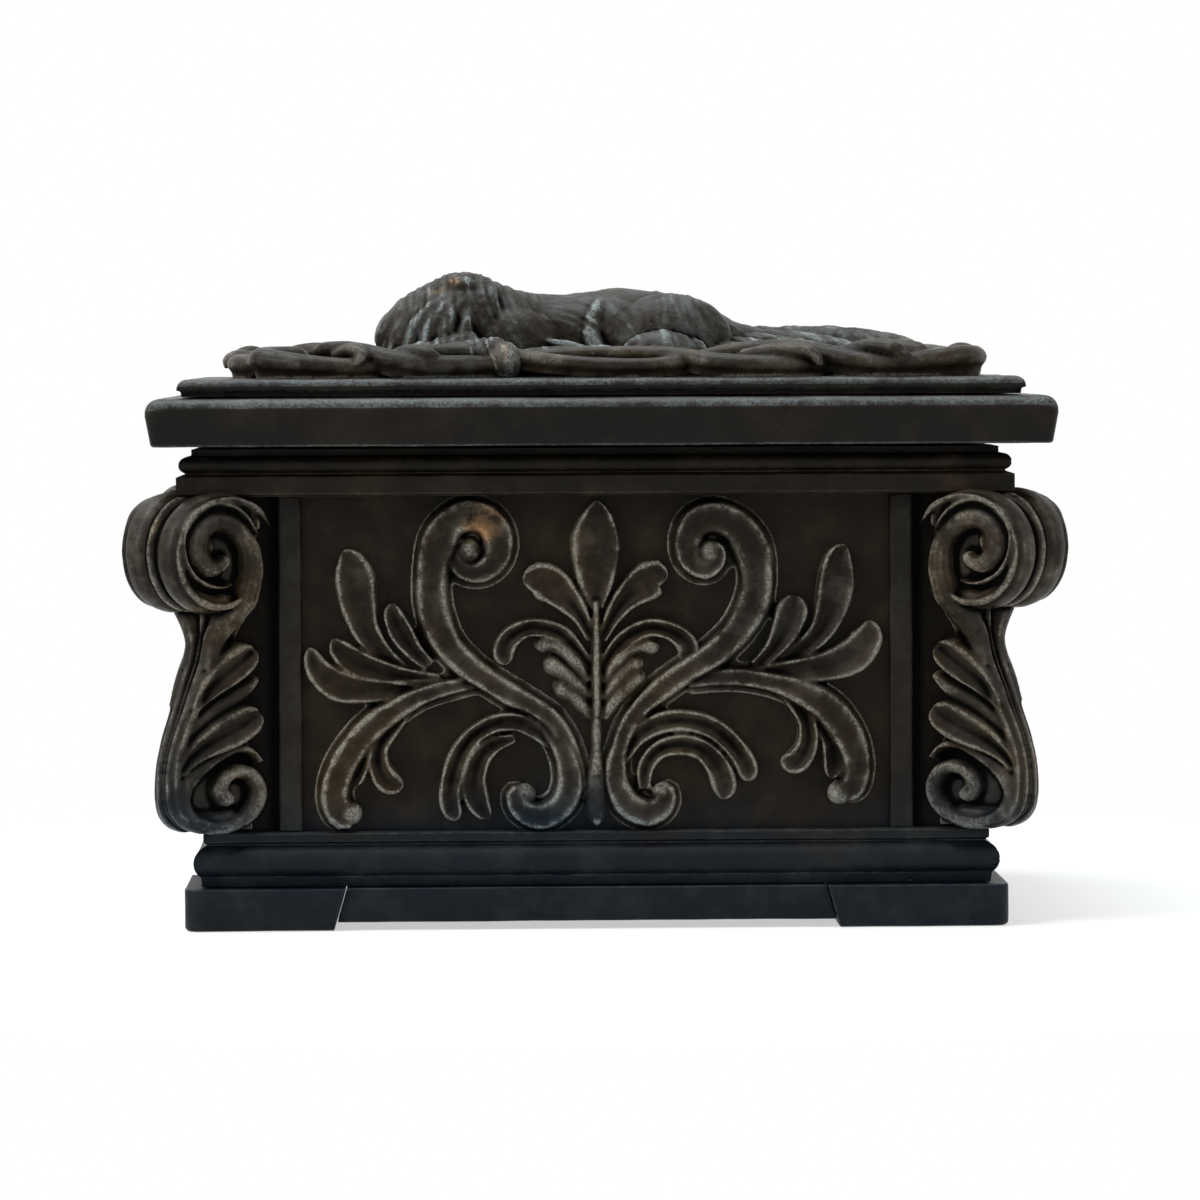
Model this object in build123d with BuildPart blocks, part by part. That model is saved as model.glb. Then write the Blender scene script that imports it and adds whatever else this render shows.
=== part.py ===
"""Keepsake casket: a footed chest in dark bronzed casting composition, with a loose lift-off lid.

X runs to the right, Y to the back and Z up; the origin is on the ground under the middle of the casket.
Millimetres throughout. Every piece is its own solid, and each is written to parts/NAME.step.
"""

import os
from math import cos, hypot, radians, sin

from build123d import *

os.makedirs("parts", exist_ok=True)

# ---------------------------------------------------------------- driving sizes
# Carcase: four walls on a bottom board.
CARCASE_WIDTH = 124.0
CARCASE_DEPTH = 82.0
WALL = 5.0
BOARD_THICKNESS = 4.0

# Heights of the members, from the ground up.
FOOT_DROP = 1.3  # the feet reach this far below the aprons
PLINTH_HEIGHT = 7.0
BASE_MOULDING_HEIGHT = 9.1
FIELD_HEIGHT = 54.5
BASE_CAVETTO = 1.7  # height of the cavetto at its foot
BASE_QUIRK = 6.9  # height of the groove that parts its two members
NECK_HEIGHT = 8.1  # from the field to the underside of the lid
NECK_BAND = 3.8
NECK_BEAD = 2.8
LID_GAP = 0.3  # air left under the resting lid
SLAB_THICKNESS = 8.0
STEP_THICKNESS = 3.1

# How far each member stands out from the carcase, the same on all four sides.
FOOT_PROJECTION = 5.2
APRON_PROJECTION = 4.2
BASE_OVOLO_PROJECTION = 3.6
BASE_FILLET_PROJECTION = 2.2
NECK_BAND_PROJECTION = 6.0
NECK_BEAD_PROJECTION = 5.5
NECK_SHELF_PROJECTION = 3.6
SLAB_PROJECTION = 11.7
STEP_PROJECTION = 6.8

# Feet and aprons.
LEFT_FOOT_LENGTH = 26.4
RIGHT_FOOT_LENGTH = 29.8
FOOT_SLANT = 2.0  # each foot is this much shorter at the ground than at the top
FOOT_LEG = 10.0
FOOT_CORNER_RADIUS = 2.4
FOOT_EDGE_RADIUS = 0.9

# Fields and their upright fillets.
STILE_WIDTH = 4.0
STILE_PROUD = 1.7
STILE_FROM_CORNER = 12.2  # from the carcase corner to the fillet's centre line
STILE_EDGE_RADIUS = 0.7

# Lid.
SLAB_EDGE_HEIGHT = 5.0  # the slab's edge runs outwards up to this height, then rounds over
SLAB_UNDERCUT = 0.9  # how far the underside stands back from the edge
SLAB_TOP_RADIUS = 2.4
SLAB_CORNER_RADIUS = 1.6
STEP_FILLET_HEIGHT = 1.0
STEP_FILLET_PROUD = 0.7
STEP_TOP_RADIUS = 1.7
RIM_DEPTH = 5.0
RIM_THICKNESS = 3.0
RIM_CLEARANCE = 1.4
LID_SHIFT = 1.0  # the loose lid rests this far to the right of the middle

# Felt lining.
FELT = 1.0
FELT_BELOW_RIM = 1.2

# Corner consoles, drawn in their own upright plane: u runs outward from the carcase corner along the
# diagonal, and z runs up.
VOLUTE_U = 4.8
VOLUTE_RADIUS = 10.1
VOLUTE_DROP = 8.8  # from the neck moulding down to the volute's centre
FOOT_VOLUTE_U = 5.6
FOOT_VOLUTE_RADIUS = 6.5
# The outer edge below the volute.
CONSOLE_OUTLINE = [(3.4, 53.0), (3.6, 49.5), (4.3, 46.5), (5.0, 44.0), (6.4, 41.0), (8.4, 36.2), (10.8, 30.6)]
CONSOLE_BACK_U = -10.0  # well inside the carcase corner, which is then cut out
CONSOLE_REACH = 9.0  # how far a console may spread along a wall from the corner
CONSOLE_LAYER = 1.3  # depth of the carving on the two cheeks
# Half width of the outer edge, its growth per millimetre inward, and its growth per millimetre upward.
UPPER_CHEEK = {"edge": 7.0, "splay": 0.15, "rise": 0.04}
LOWER_CHEEK = {"edge": 2.65, "splay": 0.26, "rise": -0.05}
CONSOLE_WAIST_Z = 51.0
REED_GROOVE_OFFSET = 1.6  # from the middle of the strap
REED_GROOVE_WIDTH = 1.1
REED_GROOVE_DEPTH = 0.9

# Carving on the four fields.
CARVING_DEPTH = 2.6  # scrolls and leaves
FINGER_DEPTH = 1.9  # the fingers that lie behind them
STEM_DEPTH = 3.2
VOLUTE_DEPTH = 3.4
VOLUTE_GROOVE = 1.0
SIDE_SQUEEZE = 0.87  # the side fields hold the same scrolls, drawn this much narrower
# The ornament was drawn on a casket of these half sizes and this field height, and is spread from them.
DRAWN_HALF_W = 62.0
DRAWN_HALF_D = 41.0
DRAWN_FIELD_HEIGHT = 54.5
DRAWN_VOLUTE_Z = 61.8
DRAWN_FOOT_VOLUTE_Z = 22.6


# ---------------------------------------------------------------- derived places
HALF_W = CARCASE_WIDTH / 2
HALF_D = CARCASE_DEPTH / 2
Z_PLINTH = PLINTH_HEIGHT
Z_FLOOR = Z_PLINTH + BOARD_THICKNESS
Z_FIELD = Z_PLINTH + BASE_MOULDING_HEIGHT
Z_NECK = Z_FIELD + FIELD_HEIGHT
Z_SLAB = Z_NECK + NECK_HEIGHT
Z_NECK_BEAD = Z_NECK + NECK_BAND + NECK_BEAD
Z_NECK_TOP = Z_SLAB - LID_GAP
Z_STEP = Z_SLAB + SLAB_THICKNESS
Z_TOP = Z_STEP + STEP_THICKNESS
VOLUTE_Z = Z_NECK - VOLUTE_DROP
FOOT_VOLUTE_Z = Z_FIELD + FOOT_VOLUTE_RADIUS
FIELD_RISE = FIELD_HEIGHT / DRAWN_FIELD_HEIGHT
FIELD_MARGIN = STILE_FROM_CORNER + STILE_WIDTH / 2

# The four faces: turn about Z, distance of the carcase face from the middle, half length of the face.
FACES = {
    "front": (0, HALF_D, HALF_W),
    "right": (90, HALF_W, HALF_D),
    "back": (180, HALF_D, HALF_W),
    "left": (270, HALF_W, HALF_D),
}
CORNERS = {
    "front_left": (False, False),
    "front_right": (True, False),
    "back_left": (False, True),
    "back_right": (True, True),
}


def write(part, name):
    """Labels a finished piece and writes it."""
    part.label = name
    export_step(part, f"parts/{name}.step")


def write_turned(part, name, turn):
    """Writes a copy of a piece made for the front, turned about Z to its own face."""
    with BuildPart() as turned:
        add(part, rotation=(0, 0, turn))
    write(turned.part, name)


def write_on_lid(part, name, turn=0):
    """Writes a piece of the lid, turned to its side and shifted with the loose lid."""
    with BuildPart() as placed:
        with Locations((LID_SHIFT, 0, 0)):
            add(part, rotation=(0, 0, turn))
    write(placed.part, name)


def write_mirrored(part, name, flip_x, flip_y):
    """Writes a copy of a piece made for the front left corner, mirrored to another corner."""
    with BuildPart() as placed:
        add(part)
        if flip_x:
            mirror(about=Plane.YZ, mode=Mode.REPLACE)
        if flip_y:
            mirror(about=Plane.XZ, mode=Mode.REPLACE)
    write(placed.part, name)


# ---------------------------------------------------------------- plinth
def make_foot(length):
    """An L-shaped bracket foot for the front left corner, with slanted ends."""
    outer_x = -HALF_W - FOOT_PROJECTION
    outer_y = -HALF_D - FOOT_PROJECTION
    with BuildPart() as foot:
        with BuildSketch() as plan:
            with BuildLine():
                Polyline(
                    (outer_x, outer_y),
                    (outer_x + length, outer_y),
                    (outer_x + length, outer_y + FOOT_LEG),
                    (outer_x + FOOT_LEG, outer_y + FOOT_LEG),
                    (outer_x + FOOT_LEG, outer_y + length),
                    (outer_x, outer_y + length),
                    close=True,
                )
            make_face()
            fillet(plan.vertices().sort_by(Axis.Y).sort_by(Axis.X)[0:1], FOOT_CORNER_RADIUS)
        extrude(amount=PLINTH_HEIGHT)
        # The end of each leg leans back toward the corner as it goes down.
        with BuildSketch(Plane.XZ.offset(-outer_y)):
            with BuildLine():
                Polyline(
                    (outer_x + length, PLINTH_HEIGHT),
                    (outer_x + length, 0),
                    (outer_x + length - FOOT_SLANT, 0),
                    close=True,
                )
            make_face()
        extrude(amount=-FOOT_LEG, mode=Mode.SUBTRACT)
        with BuildSketch(Plane.YZ.offset(outer_x)):
            with BuildLine():
                Polyline(
                    (outer_y + length, PLINTH_HEIGHT),
                    (outer_y + length, 0),
                    (outer_y + length - FOOT_SLANT, 0),
                    close=True,
                )
            make_face()
        extrude(amount=FOOT_LEG, mode=Mode.SUBTRACT)
        outside = foot.faces().filter_by(Axis.Z).sort_by(Axis.Z)[0].edges()
        reachable = outside.filter_by(lambda e: e.center().X < outer_x + 1 or e.center().Y < outer_y + 1)
        fillet(reachable, FOOT_EDGE_RADIUS)
    return foot.part


def make_apron(reach, half_run, left_foot, right_foot):
    """The rail between two feet, with ends that lean to match them."""
    lean = FOOT_SLANT / PLINTH_HEIGHT * (PLINTH_HEIGHT - FOOT_DROP)
    left_end = left_foot - half_run - FOOT_PROJECTION
    right_end = half_run + FOOT_PROJECTION - right_foot
    with BuildPart() as apron:
        with BuildSketch(Plane(origin=(0, -reach - APRON_PROJECTION, 0), x_dir=(1, 0, 0), z_dir=(0, -1, 0))):
            with BuildLine():
                Polyline(
                    (left_end - lean, FOOT_DROP),
                    (right_end + lean, FOOT_DROP),
                    (right_end, PLINTH_HEIGHT),
                    (left_end, PLINTH_HEIGHT),
                    close=True,
                )
            make_face()
        extrude(amount=-(FOOT_LEG + APRON_PROJECTION - FOOT_PROJECTION))
    return apron.part


FOOT_LENGTHS = {"left": LEFT_FOOT_LENGTH, "right": RIGHT_FOOT_LENGTH}
for side, length in FOOT_LENGTHS.items():
    foot_part = make_foot(length)
    write_mirrored(foot_part, f"foot_front_{side}", side == "right", False)
    write_mirrored(foot_part, f"foot_back_{side}", side == "right", True)
# The feet at the two ends of each face, as seen from that face's own front.
for face, left_foot, right_foot in (
    ("front", LEFT_FOOT_LENGTH, RIGHT_FOOT_LENGTH),
    ("right", RIGHT_FOOT_LENGTH, RIGHT_FOOT_LENGTH),
    ("back", RIGHT_FOOT_LENGTH, LEFT_FOOT_LENGTH),
    ("left", LEFT_FOOT_LENGTH, LEFT_FOOT_LENGTH),
):
    turn, reach, half_run = FACES[face]
    write_turned(make_apron(reach, half_run, left_foot, right_foot), f"apron_{face}", turn)

with BuildPart() as bottom_board:
    with BuildSketch(Plane.XY.offset(Z_PLINTH)):
        Rectangle(CARCASE_WIDTH, CARCASE_DEPTH)
    extrude(amount=BOARD_THICKNESS)
write(bottom_board.part, "bottom_board")


# ---------------------------------------------------------------- carcase
for face, (turn, reach, half_run) in FACES.items():
    # The front and back walls run the full width, and the side walls fit between them.
    length = half_run if face in ("front", "back") else half_run - WALL
    with BuildPart() as standing_wall:
        with BuildSketch(Plane.XY.offset(Z_FLOOR)):
            with Locations((0, WALL / 2 - reach)):
                Rectangle(2 * length, WALL)
        extrude(amount=Z_NECK - Z_FLOOR)
    write_turned(standing_wall.part, f"wall_{face}", turn)


def moulding_length(reach, half_run, profile):
    """One mitred length of moulding for the front, its profile drawn as projection across and height up."""
    over = half_run + NECK_BAND_PROJECTION + 1
    with BuildPart() as length:
        section = Plane(origin=(-over, -reach, 0), x_dir=(0, -1, 0), z_dir=(-1, 0, 0))
        with BuildSketch(section):
            add(profile)
        extrude(amount=-2 * over)
        # The mitres pass through the carcase corners at 45 degrees.
        split(bisect_by=Plane(origin=(-half_run, -reach, 0), z_dir=(1, -1, 0)), keep=Keep.TOP)
        split(bisect_by=Plane(origin=(half_run, -reach, 0), z_dir=(-1, -1, 0)), keep=Keep.TOP)
    return length.part


with BuildSketch() as base_profile:
    # Cavetto, ovolo, quirk and fillet, from the plinth up to the field.
    with BuildLine():
        Line((0, Z_PLINTH), (BASE_OVOLO_PROJECTION - 1.2, Z_PLINTH))
        Line((BASE_OVOLO_PROJECTION - 1.2, Z_PLINTH), (BASE_OVOLO_PROJECTION - 1.0, Z_PLINTH + BASE_CAVETTO))
        ThreePointArc(
            (BASE_OVOLO_PROJECTION - 1.0, Z_PLINTH + BASE_CAVETTO),
            (BASE_OVOLO_PROJECTION, Z_PLINTH + BASE_CAVETTO + 1.6),
            (BASE_FILLET_PROJECTION - 0.7, Z_PLINTH + BASE_QUIRK),
        )
        Polyline(
            (BASE_FILLET_PROJECTION - 0.7, Z_PLINTH + BASE_QUIRK),
            (BASE_FILLET_PROJECTION, Z_PLINTH + BASE_QUIRK + 0.4),
            (BASE_FILLET_PROJECTION, Z_FIELD - 0.4),
            (BASE_FILLET_PROJECTION - 0.4, Z_FIELD),
            (0, Z_FIELD),
            (0, Z_PLINTH),
        )
    make_face()

with BuildSketch() as neck_profile:
    # A flat band, a quirk, a bead and a set-back shelf that the lid sits over.
    with BuildLine():
        Polyline(
            (NECK_SHELF_PROJECTION, Z_NECK_BEAD),
            (NECK_SHELF_PROJECTION, Z_NECK_TOP),
            (-WALL, Z_NECK_TOP),
            (-WALL, Z_NECK),
            (NECK_BAND_PROJECTION - 0.5, Z_NECK),
            (NECK_BAND_PROJECTION, Z_NECK + 0.5),
            (NECK_BAND_PROJECTION, Z_NECK + NECK_BAND - 0.5),
            (NECK_BEAD_PROJECTION - 1.0, Z_NECK + NECK_BAND),
        )
        ThreePointArc(
            (NECK_BEAD_PROJECTION - 1.0, Z_NECK + NECK_BAND),
            (NECK_BEAD_PROJECTION, Z_NECK + NECK_BAND + 1.4),
            (NECK_SHELF_PROJECTION, Z_NECK_BEAD),
        )
    make_face()

for face, (turn, reach, half_run) in FACES.items():
    write_turned(moulding_length(reach, half_run, base_profile.sketch), f"base_moulding_{face}", turn)
    write_turned(moulding_length(reach, half_run, neck_profile.sketch), f"neck_moulding_{face}", turn)

for face, (turn, reach, half_run) in FACES.items():
    stile_at = half_run - STILE_FROM_CORNER
    with BuildPart() as stiles:
        with BuildSketch(Plane.XY.offset(Z_FIELD)) as section:
            with Locations((-stile_at, -reach - STILE_PROUD / 2), (stile_at, -reach - STILE_PROUD / 2)):
                Rectangle(STILE_WIDTH, STILE_PROUD)
            fillet(section.vertices().group_by(Axis.Y)[0], STILE_EDGE_RADIUS)
        extrude(amount=FIELD_HEIGHT)
    write_turned(stiles.part, f"stiles_{face}", turn)


# ---------------------------------------------------------------- carving
# A leaf is its spine from root to tip: (across, up, half width) at each point.
def leaf_edges(spine):
    """The two sides of a leaf, from root to tip, and its tip point."""
    left, right = [], []
    for i, (x, z, half) in enumerate(spine):
        before, after = spine[max(i - 1, 0)], spine[min(i + 1, len(spine) - 1)]
        dx, dz = after[0] - before[0], after[1] - before[1]
        run = hypot(dx, dz)
        left.append((x - dz / run * half, z + dx / run * half))
        right.append((x + dz / run * half, z - dx / run * half))
    (x0, z0, _), (x1, z1, half) = spine[-2:]
    run = hypot(x1 - x0, z1 - z0)
    tip = (x1 + (x1 - x0) / run * half, z1 + (z1 - z0) / run * half)
    return left, right, tip


def leaf(spine):
    """The flat outline of a leaf, with a square root and a rounded tip."""
    left, right, tip = leaf_edges(spine)
    with BuildSketch() as outline:
        with BuildLine():
            Spline(*left)
            Spline(*right)
            Line(left[0], right[0])
            ThreePointArc(left[-1], tip, right[-1])
        make_face()
    return outline.sketch


SPEAR = [(0, 34, 0.8), (0, 40.4, 1.6), (0, 45.3, 2.6), (0, 49.4, 2.5), (0, 53.2, 0.5)]
STEM = [(0, 11, 0.8), (0, 20.9, 1.0), (0, 29, 0.8), (0, 36, 0.7)]
DROP = [(0, 12, 0.8), (0, 9.0, 0.9), (0, 5.4, 1.6), (0, 1.0, 0.4)]
PALMETTE_LEFT = [
    [(-0.2, 24.1, 0.5), (-1.5, 29, 1.1), (-3.4, 33.9, 1.8), (-5.5, 37.7, 2.2), (-8.5, 39.9, 2.1),
     (-11.9, 39.8, 1.3)],
    [(-0.5, 22.5, 0.6), (-2.8, 28.2, 1.1), (-6, 31.6, 1.3), (-10.1, 33.3, 1.2), (-13.5, 32, 1.2),
     (-15, 29, 1), (-14.3, 26.9, 0.8)],
    [(-0.4, 20.9, 0.5), (-2.8, 25.4, 1), (-5.5, 29, 1.2), (-8, 30.2, 1.3), (-9.8, 29, 1)],
    [(-0.2, 18.4, 0.5), (-2.8, 22.5, 1), (-6, 26.1, 1.2), (-8.5, 26.9, 0.9)],
    [(-0.2, 15.2, 0.7), (-2, 19.2, 1), (-4.7, 22.5, 1.2), (-7.2, 23.8, 0.9)],
]
PALMETTE_RIGHT = [
    [(0.3, 24.1, 0.5), (1.8, 29, 1), (3.7, 33.6, 1.5), (6, 37.2, 1.8), (8.6, 39.9, 2.1), (11.1, 41.4, 1.4)],
    [(0.5, 22.5, 0.6), (2.9, 28.2, 1), (6.2, 31.5, 1.3), (9.5, 33.4, 1.3), (13.2, 33.3, 1.2), (15.2, 31.2, 1),
     (14, 29.6, 0.7)],
    [(0.8, 22.8, 0.5), (3.4, 27.1, 0.9), (7, 29.3, 1.1), (10.8, 29, 0.8)],
    [(0.8, 19.2, 0.5), (2.9, 23.8, 0.9), (5.7, 26.6, 1.1), (7.8, 27.4, 0.9)],
    [(0.5, 16, 0.7), (2.9, 20.9, 1), (6.2, 23.3, 1.1), (8.3, 24.9, 0.9)],
]
# Each half's scroll: a stem that ends in the big volute, and a C-scroll that ends in a small one.
STEM_LEFT = [(-3, 4.6, 0.4), (-3.9, 11.9, 0.8), (-6, 17.3, 1.1), (-10.1, 20.9, 1.3), (-15.8, 24.5, 1.5),
             (-20.7, 28.2, 1.7), (-24.8, 33.1, 2), (-26.6, 38, 2.2), (-26.7, 42.9, 2.3), (-25.3, 47.4, 2.4),
             (-22, 50.5, 2.4)]
STEM_RIGHT = [(3, 4.6, 0.4), (3.6, 11.9, 0.8), (5.1, 17.6, 1.1), (9.5, 22.2, 1.5), (15.2, 26.1, 1.8),
              (20, 29, 2), (24.1, 33.1, 2.1), (26.2, 38, 2.2), (26.2, 42.9, 2.3), (24.6, 47.3, 2.4),
              (21.4, 50.4, 2.4)]
C_SCROLL_LEFT = [(-23.1, 1.8, 0.8), (-24.3, 7, 1.3), (-22, 12.4, 1.5), (-17.4, 16.3, 1.5), (-12.6, 17.3, 1.5),
                 (-8, 14.7, 1.5), (-5.2, 9.8, 1.4), (-5.7, 4.9, 1.6), (-9, 2.4, 1.8), (-12, 3.8, 1.8)]
C_SCROLL_RIGHT = [(24.6, 7, 1.2), (24.1, 10.3, 1.5), (21.7, 14.3, 1.5), (17.6, 17.3, 1.5), (12.7, 17.9, 1.4),
                  (7.8, 15.2, 1.5), (5.1, 10.3, 1.4), (5.7, 4.9, 1.6), (9, 2.6, 1.8), (12, 4, 1.8)]
C_FINGER_LEFT = [(-9.3, 14, 0.5), (-14.5, 13.5, 1), (-18.3, 11.1, 1.3), (-19.7, 7, 1.4), (-19.1, 1.8, 0.8)]
C_FINGER_RIGHT = [(11.1, 14.7, 0.5), (16, 14.3, 1), (19.2, 12.4, 1.3), (21.2, 8.6, 1.3), (20.9, 4.6, 1.2)]
BIG_VOLUTE_LEFT = (-20.7, 46.1, 6.9)
BIG_VOLUTE_RIGHT = (18.9, 46.1, 6.9)
SMALL_VOLUTES_LEFT = [(-11.2, 5.9, 2.5), (-40.4, 4.2, 2.6)]
SMALL_VOLUTES_RIGHT = [(11.1, 5.9, 2.5), (39.4, 6, 2.5)]
# The leaf cluster that springs from the stem toward the fillet: broad leaves, then the fingers behind them.
LEAVES_LEFT = [
    [(-24, 25.4, 0.6), (-31.3, 27.7, 1), (-35.4, 30.3, 1.4), (-37.8, 33.9, 1.8), (-39, 37.2, 2.1),
     (-39.3, 41.2, 2.1), (-41.5, 44.8, 0.6)],
    [(-24, 24.8, 0.6), (-32.1, 25.6, 1), (-37.8, 26.9, 1.3), (-41.6, 28.7, 1.4), (-42.7, 31.3, 0.5)],
    [(-15.8, 23.1, 0.7), (-24, 22.2, 1.1), (-31.3, 20.5, 1.5), (-37.8, 17.3, 1.9), (-42.2, 13, 2),
     (-44, 7.8, 1.9), (-43, 4.2, 1.9)],
]
FINGERS_LEFT = [
    [(-22.3, 25.4, 0.6), (-28, 28.2, 1.1), (-31.3, 31, 1.3), (-32.9, 34.2, 1.3), (-33.6, 37.2, 0.6)],
    [(-23.1, 24.1, 0.5), (-32.1, 23.8, 0.8), (-38.6, 23.1, 1.4), (-43.4, 24.1, 1.7), (-45.7, 27.1, 1.3),
     (-46.3, 30.2, 0.8)],
    [(-36.7, 16.3, 0.6), (-39, 11.9, 1.1), (-39.4, 8.2, 0.9)],
    [(-30.8, 19.6, 0.6), (-34.6, 15.2, 1.1), (-36, 11.1, 1), (-35, 7.8, 1), (-32.6, 6.5, 1.1),
     (-31, 7.2, 0.7)],
]
LEAVES_RIGHT = [
    [(27.4, 26.1, 0.6), (33.6, 28.4, 1.1), (37.2, 31.9, 1.8), (38.8, 36.3, 2), (39.3, 41.2, 1.9),
     (40.6, 45.9, 0.6)],
    [(27.4, 25.4, 0.6), (34.7, 26.1, 1.3), (40.4, 27.1, 1.9), (43.9, 29.3, 1.8), (44.8, 33.4, 0.8)],
    [(16.8, 23.8, 0.7), (26.6, 24.1, 1.1), (34.7, 22.5, 1.8), (39.9, 18.4, 2.2), (42.9, 12.7, 1.8),
     (43.2, 7.8, 1.7), (41.4, 5.4, 1.7)],
]
FINGERS_RIGHT = [
    [(22.5, 26.1, 0.5), (27.9, 28.2, 1), (31.1, 31.5, 1.5), (32.3, 35.5, 1.6), (32.4, 38.8, 1.4)],
    [(33.1, 20.9, 0.6), (37.7, 16, 1.3), (39.4, 11.9, 1.1), (39.2, 9.6, 0.7)],
    [(29, 22.5, 0.6), (33.1, 18.4, 1.1), (35, 14, 1.1), (33.9, 10.8, 1.1), (30.6, 9.8, 1.1),
     (28.5, 11.4, 0.7)],
]


def fitted(shapes, factor):
    """The same spines spread across a face and drawn to the height of its field."""
    return [[(x * factor, z * FIELD_RISE, half) for x, z, half in spine] for spine in shapes]


def carve(reach, leaves, fingers, stems, big_volutes, small_volutes):
    """One cast ornament on the front face: spines and discs of several depths, grown together."""
    field = Plane(origin=(0, -reach, Z_FIELD), x_dir=(1, 0, 0), z_dir=(0, -1, 0))
    with BuildPart() as ornament:
        for spines, depth in ((fingers, FINGER_DEPTH), (leaves, CARVING_DEPTH), (stems, STEM_DEPTH)):
            for spine in spines:
                with BuildSketch(field):
                    add(leaf(spine))
                extrude(amount=depth)
        for x, z, radius in small_volutes:
            with BuildSketch(field):
                with Locations((x, z)):
                    Circle(radius)
            extrude(amount=STEM_DEPTH + 0.3)
        for x, z, radius in big_volutes:
            with BuildSketch(field):
                with Locations((x, z)):
                    Circle(radius)
            extrude(amount=VOLUTE_DEPTH)
            # A sunk ring parts the eye of the volute from its outer turn.
            with BuildSketch(field.offset(VOLUTE_DEPTH - VOLUTE_GROOVE)):
                with Locations((x, z)):
                    Circle(radius * 0.52)
                    Circle(radius * 0.30, mode=Mode.SUBTRACT)
            extrude(amount=VOLUTE_GROOVE, mode=Mode.SUBTRACT)
    return ornament.part


for face, (turn, reach, half_run) in FACES.items():
    wide = half_run == HALF_W
    factor = (half_run - FIELD_MARGIN) / (DRAWN_HALF_W - FIELD_MARGIN)
    if not wide:
        factor = SIDE_SQUEEZE * (half_run - FIELD_MARGIN) / (DRAWN_HALF_D - FIELD_MARGIN)
    palmette = carve(reach, fitted(PALMETTE_LEFT + PALMETTE_RIGHT, factor), [], [SPEAR, STEM, DROP], [], [])
    write_turned(palmette, f"palmette_{face}", turn)
    for side, stem, c_scroll, c_finger, leaves, fingers, big, small in (
        ("left", STEM_LEFT, C_SCROLL_LEFT, C_FINGER_LEFT, LEAVES_LEFT, FINGERS_LEFT, BIG_VOLUTE_LEFT,
         SMALL_VOLUTES_LEFT),
        ("right", STEM_RIGHT, C_SCROLL_RIGHT, C_FINGER_RIGHT, LEAVES_RIGHT, FINGERS_RIGHT, BIG_VOLUTE_RIGHT,
         SMALL_VOLUTES_RIGHT),
    ):
        own_leaves = leaves if wide else []
        own_fingers = fingers if wide else []
        scroll = carve(
            reach,
            fitted([c_scroll] + own_leaves, factor),
            fitted([c_finger] + own_fingers, factor),
            fitted([stem], factor),
            fitted([[big]], factor)[0],
            fitted([small if wide else small[:1]], factor)[0],
        )
        write_turned(scroll, f"scroll_{face}_{side}", turn)


# ---------------------------------------------------------------- corner consoles
OUTWARD = Vector(-1, -1, 0).normalized()  # along the diagonal at the front left corner
ACROSS = Vector(1, -1, 0).normalized()
CORNER = Vector(-HALF_W, -HALF_D, 0)
CONSOLE_PLANE = Plane(origin=CORNER, x_dir=OUTWARD, z_dir=-ACROSS)


def spiral(centre, start, end, first, last, half_first, half_last, count):
    """Spine points that wind round a centre; radii and half widths run from the first to the last angle."""
    points = []
    for i in range(count):
        t = i / (count - 1)
        angle = radians(start + (end - start) * t)
        radius = first + (last - first) * t
        half = half_first + (half_last - half_first) * t
        points.append((centre[0] + radius * cos(angle), centre[1] + radius * sin(angle), half))
    return points


def raised(points):
    """Drawn (u, z, ...) points of the console moved to the real distance between its two volutes."""
    rise = (VOLUTE_Z - FOOT_VOLUTE_Z) / (DRAWN_VOLUTE_Z - DRAWN_FOOT_VOLUTE_Z)
    return [(u, FOOT_VOLUTE_Z + (z - DRAWN_FOOT_VOLUTE_Z) * rise, *rest) for u, z, *rest in points]


def ring(radius, width):
    """A flat ring."""
    with BuildSketch() as flat_ring:
        Circle(radius)
        Circle(radius - width, mode=Mode.SUBTRACT)
    return flat_ring.sketch


VOLUTE_RING = 3.0
FOOT_VOLUTE_RING = 2.2
UPPER_SPIRAL = spiral((VOLUTE_U, VOLUTE_Z), -60, -330, 7.4, 3.4, 1.6, 1.0, 9)
LOWER_SPIRAL = spiral((FOOT_VOLUTE_U, FOOT_VOLUTE_Z), -110, -400, 5.1, 2.5, 1.1, 0.8, 9)
STEM_BAND = raised([
    (3.4, 44.6, 0.8), (2.6, 47.8, 1.3), (1.4, 51.2, 1.8), (-0.4, 55.0, 1.8), (-1.4, 58.6, 1.6),
])
LOWER_BAND = raised([
    (-3.4, 29.9, 0.6), (-0.2, 29.7, 1.0), (3.2, 28.7, 1.2), (6.4, 27.1, 1.3), (9.2, 24.8, 1.3),
])
UPPER_LOBE = raised([
    (6.2, 38.2, 0.8), (4.6, 39.9, 1.4), (2.6, 41.4, 1.8), (-0.6, 43.0, 2.2), (-3.6, 45.0, 1.8),
])
MIDDLE_LOBE = raised([
    (9.4, 28.2, 0.8), (7.8, 29.4, 1.2), (5.4, 30.8, 1.7), (2.0, 32.4, 2.0), (-2.4, 34.2, 1.9),
])


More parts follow.
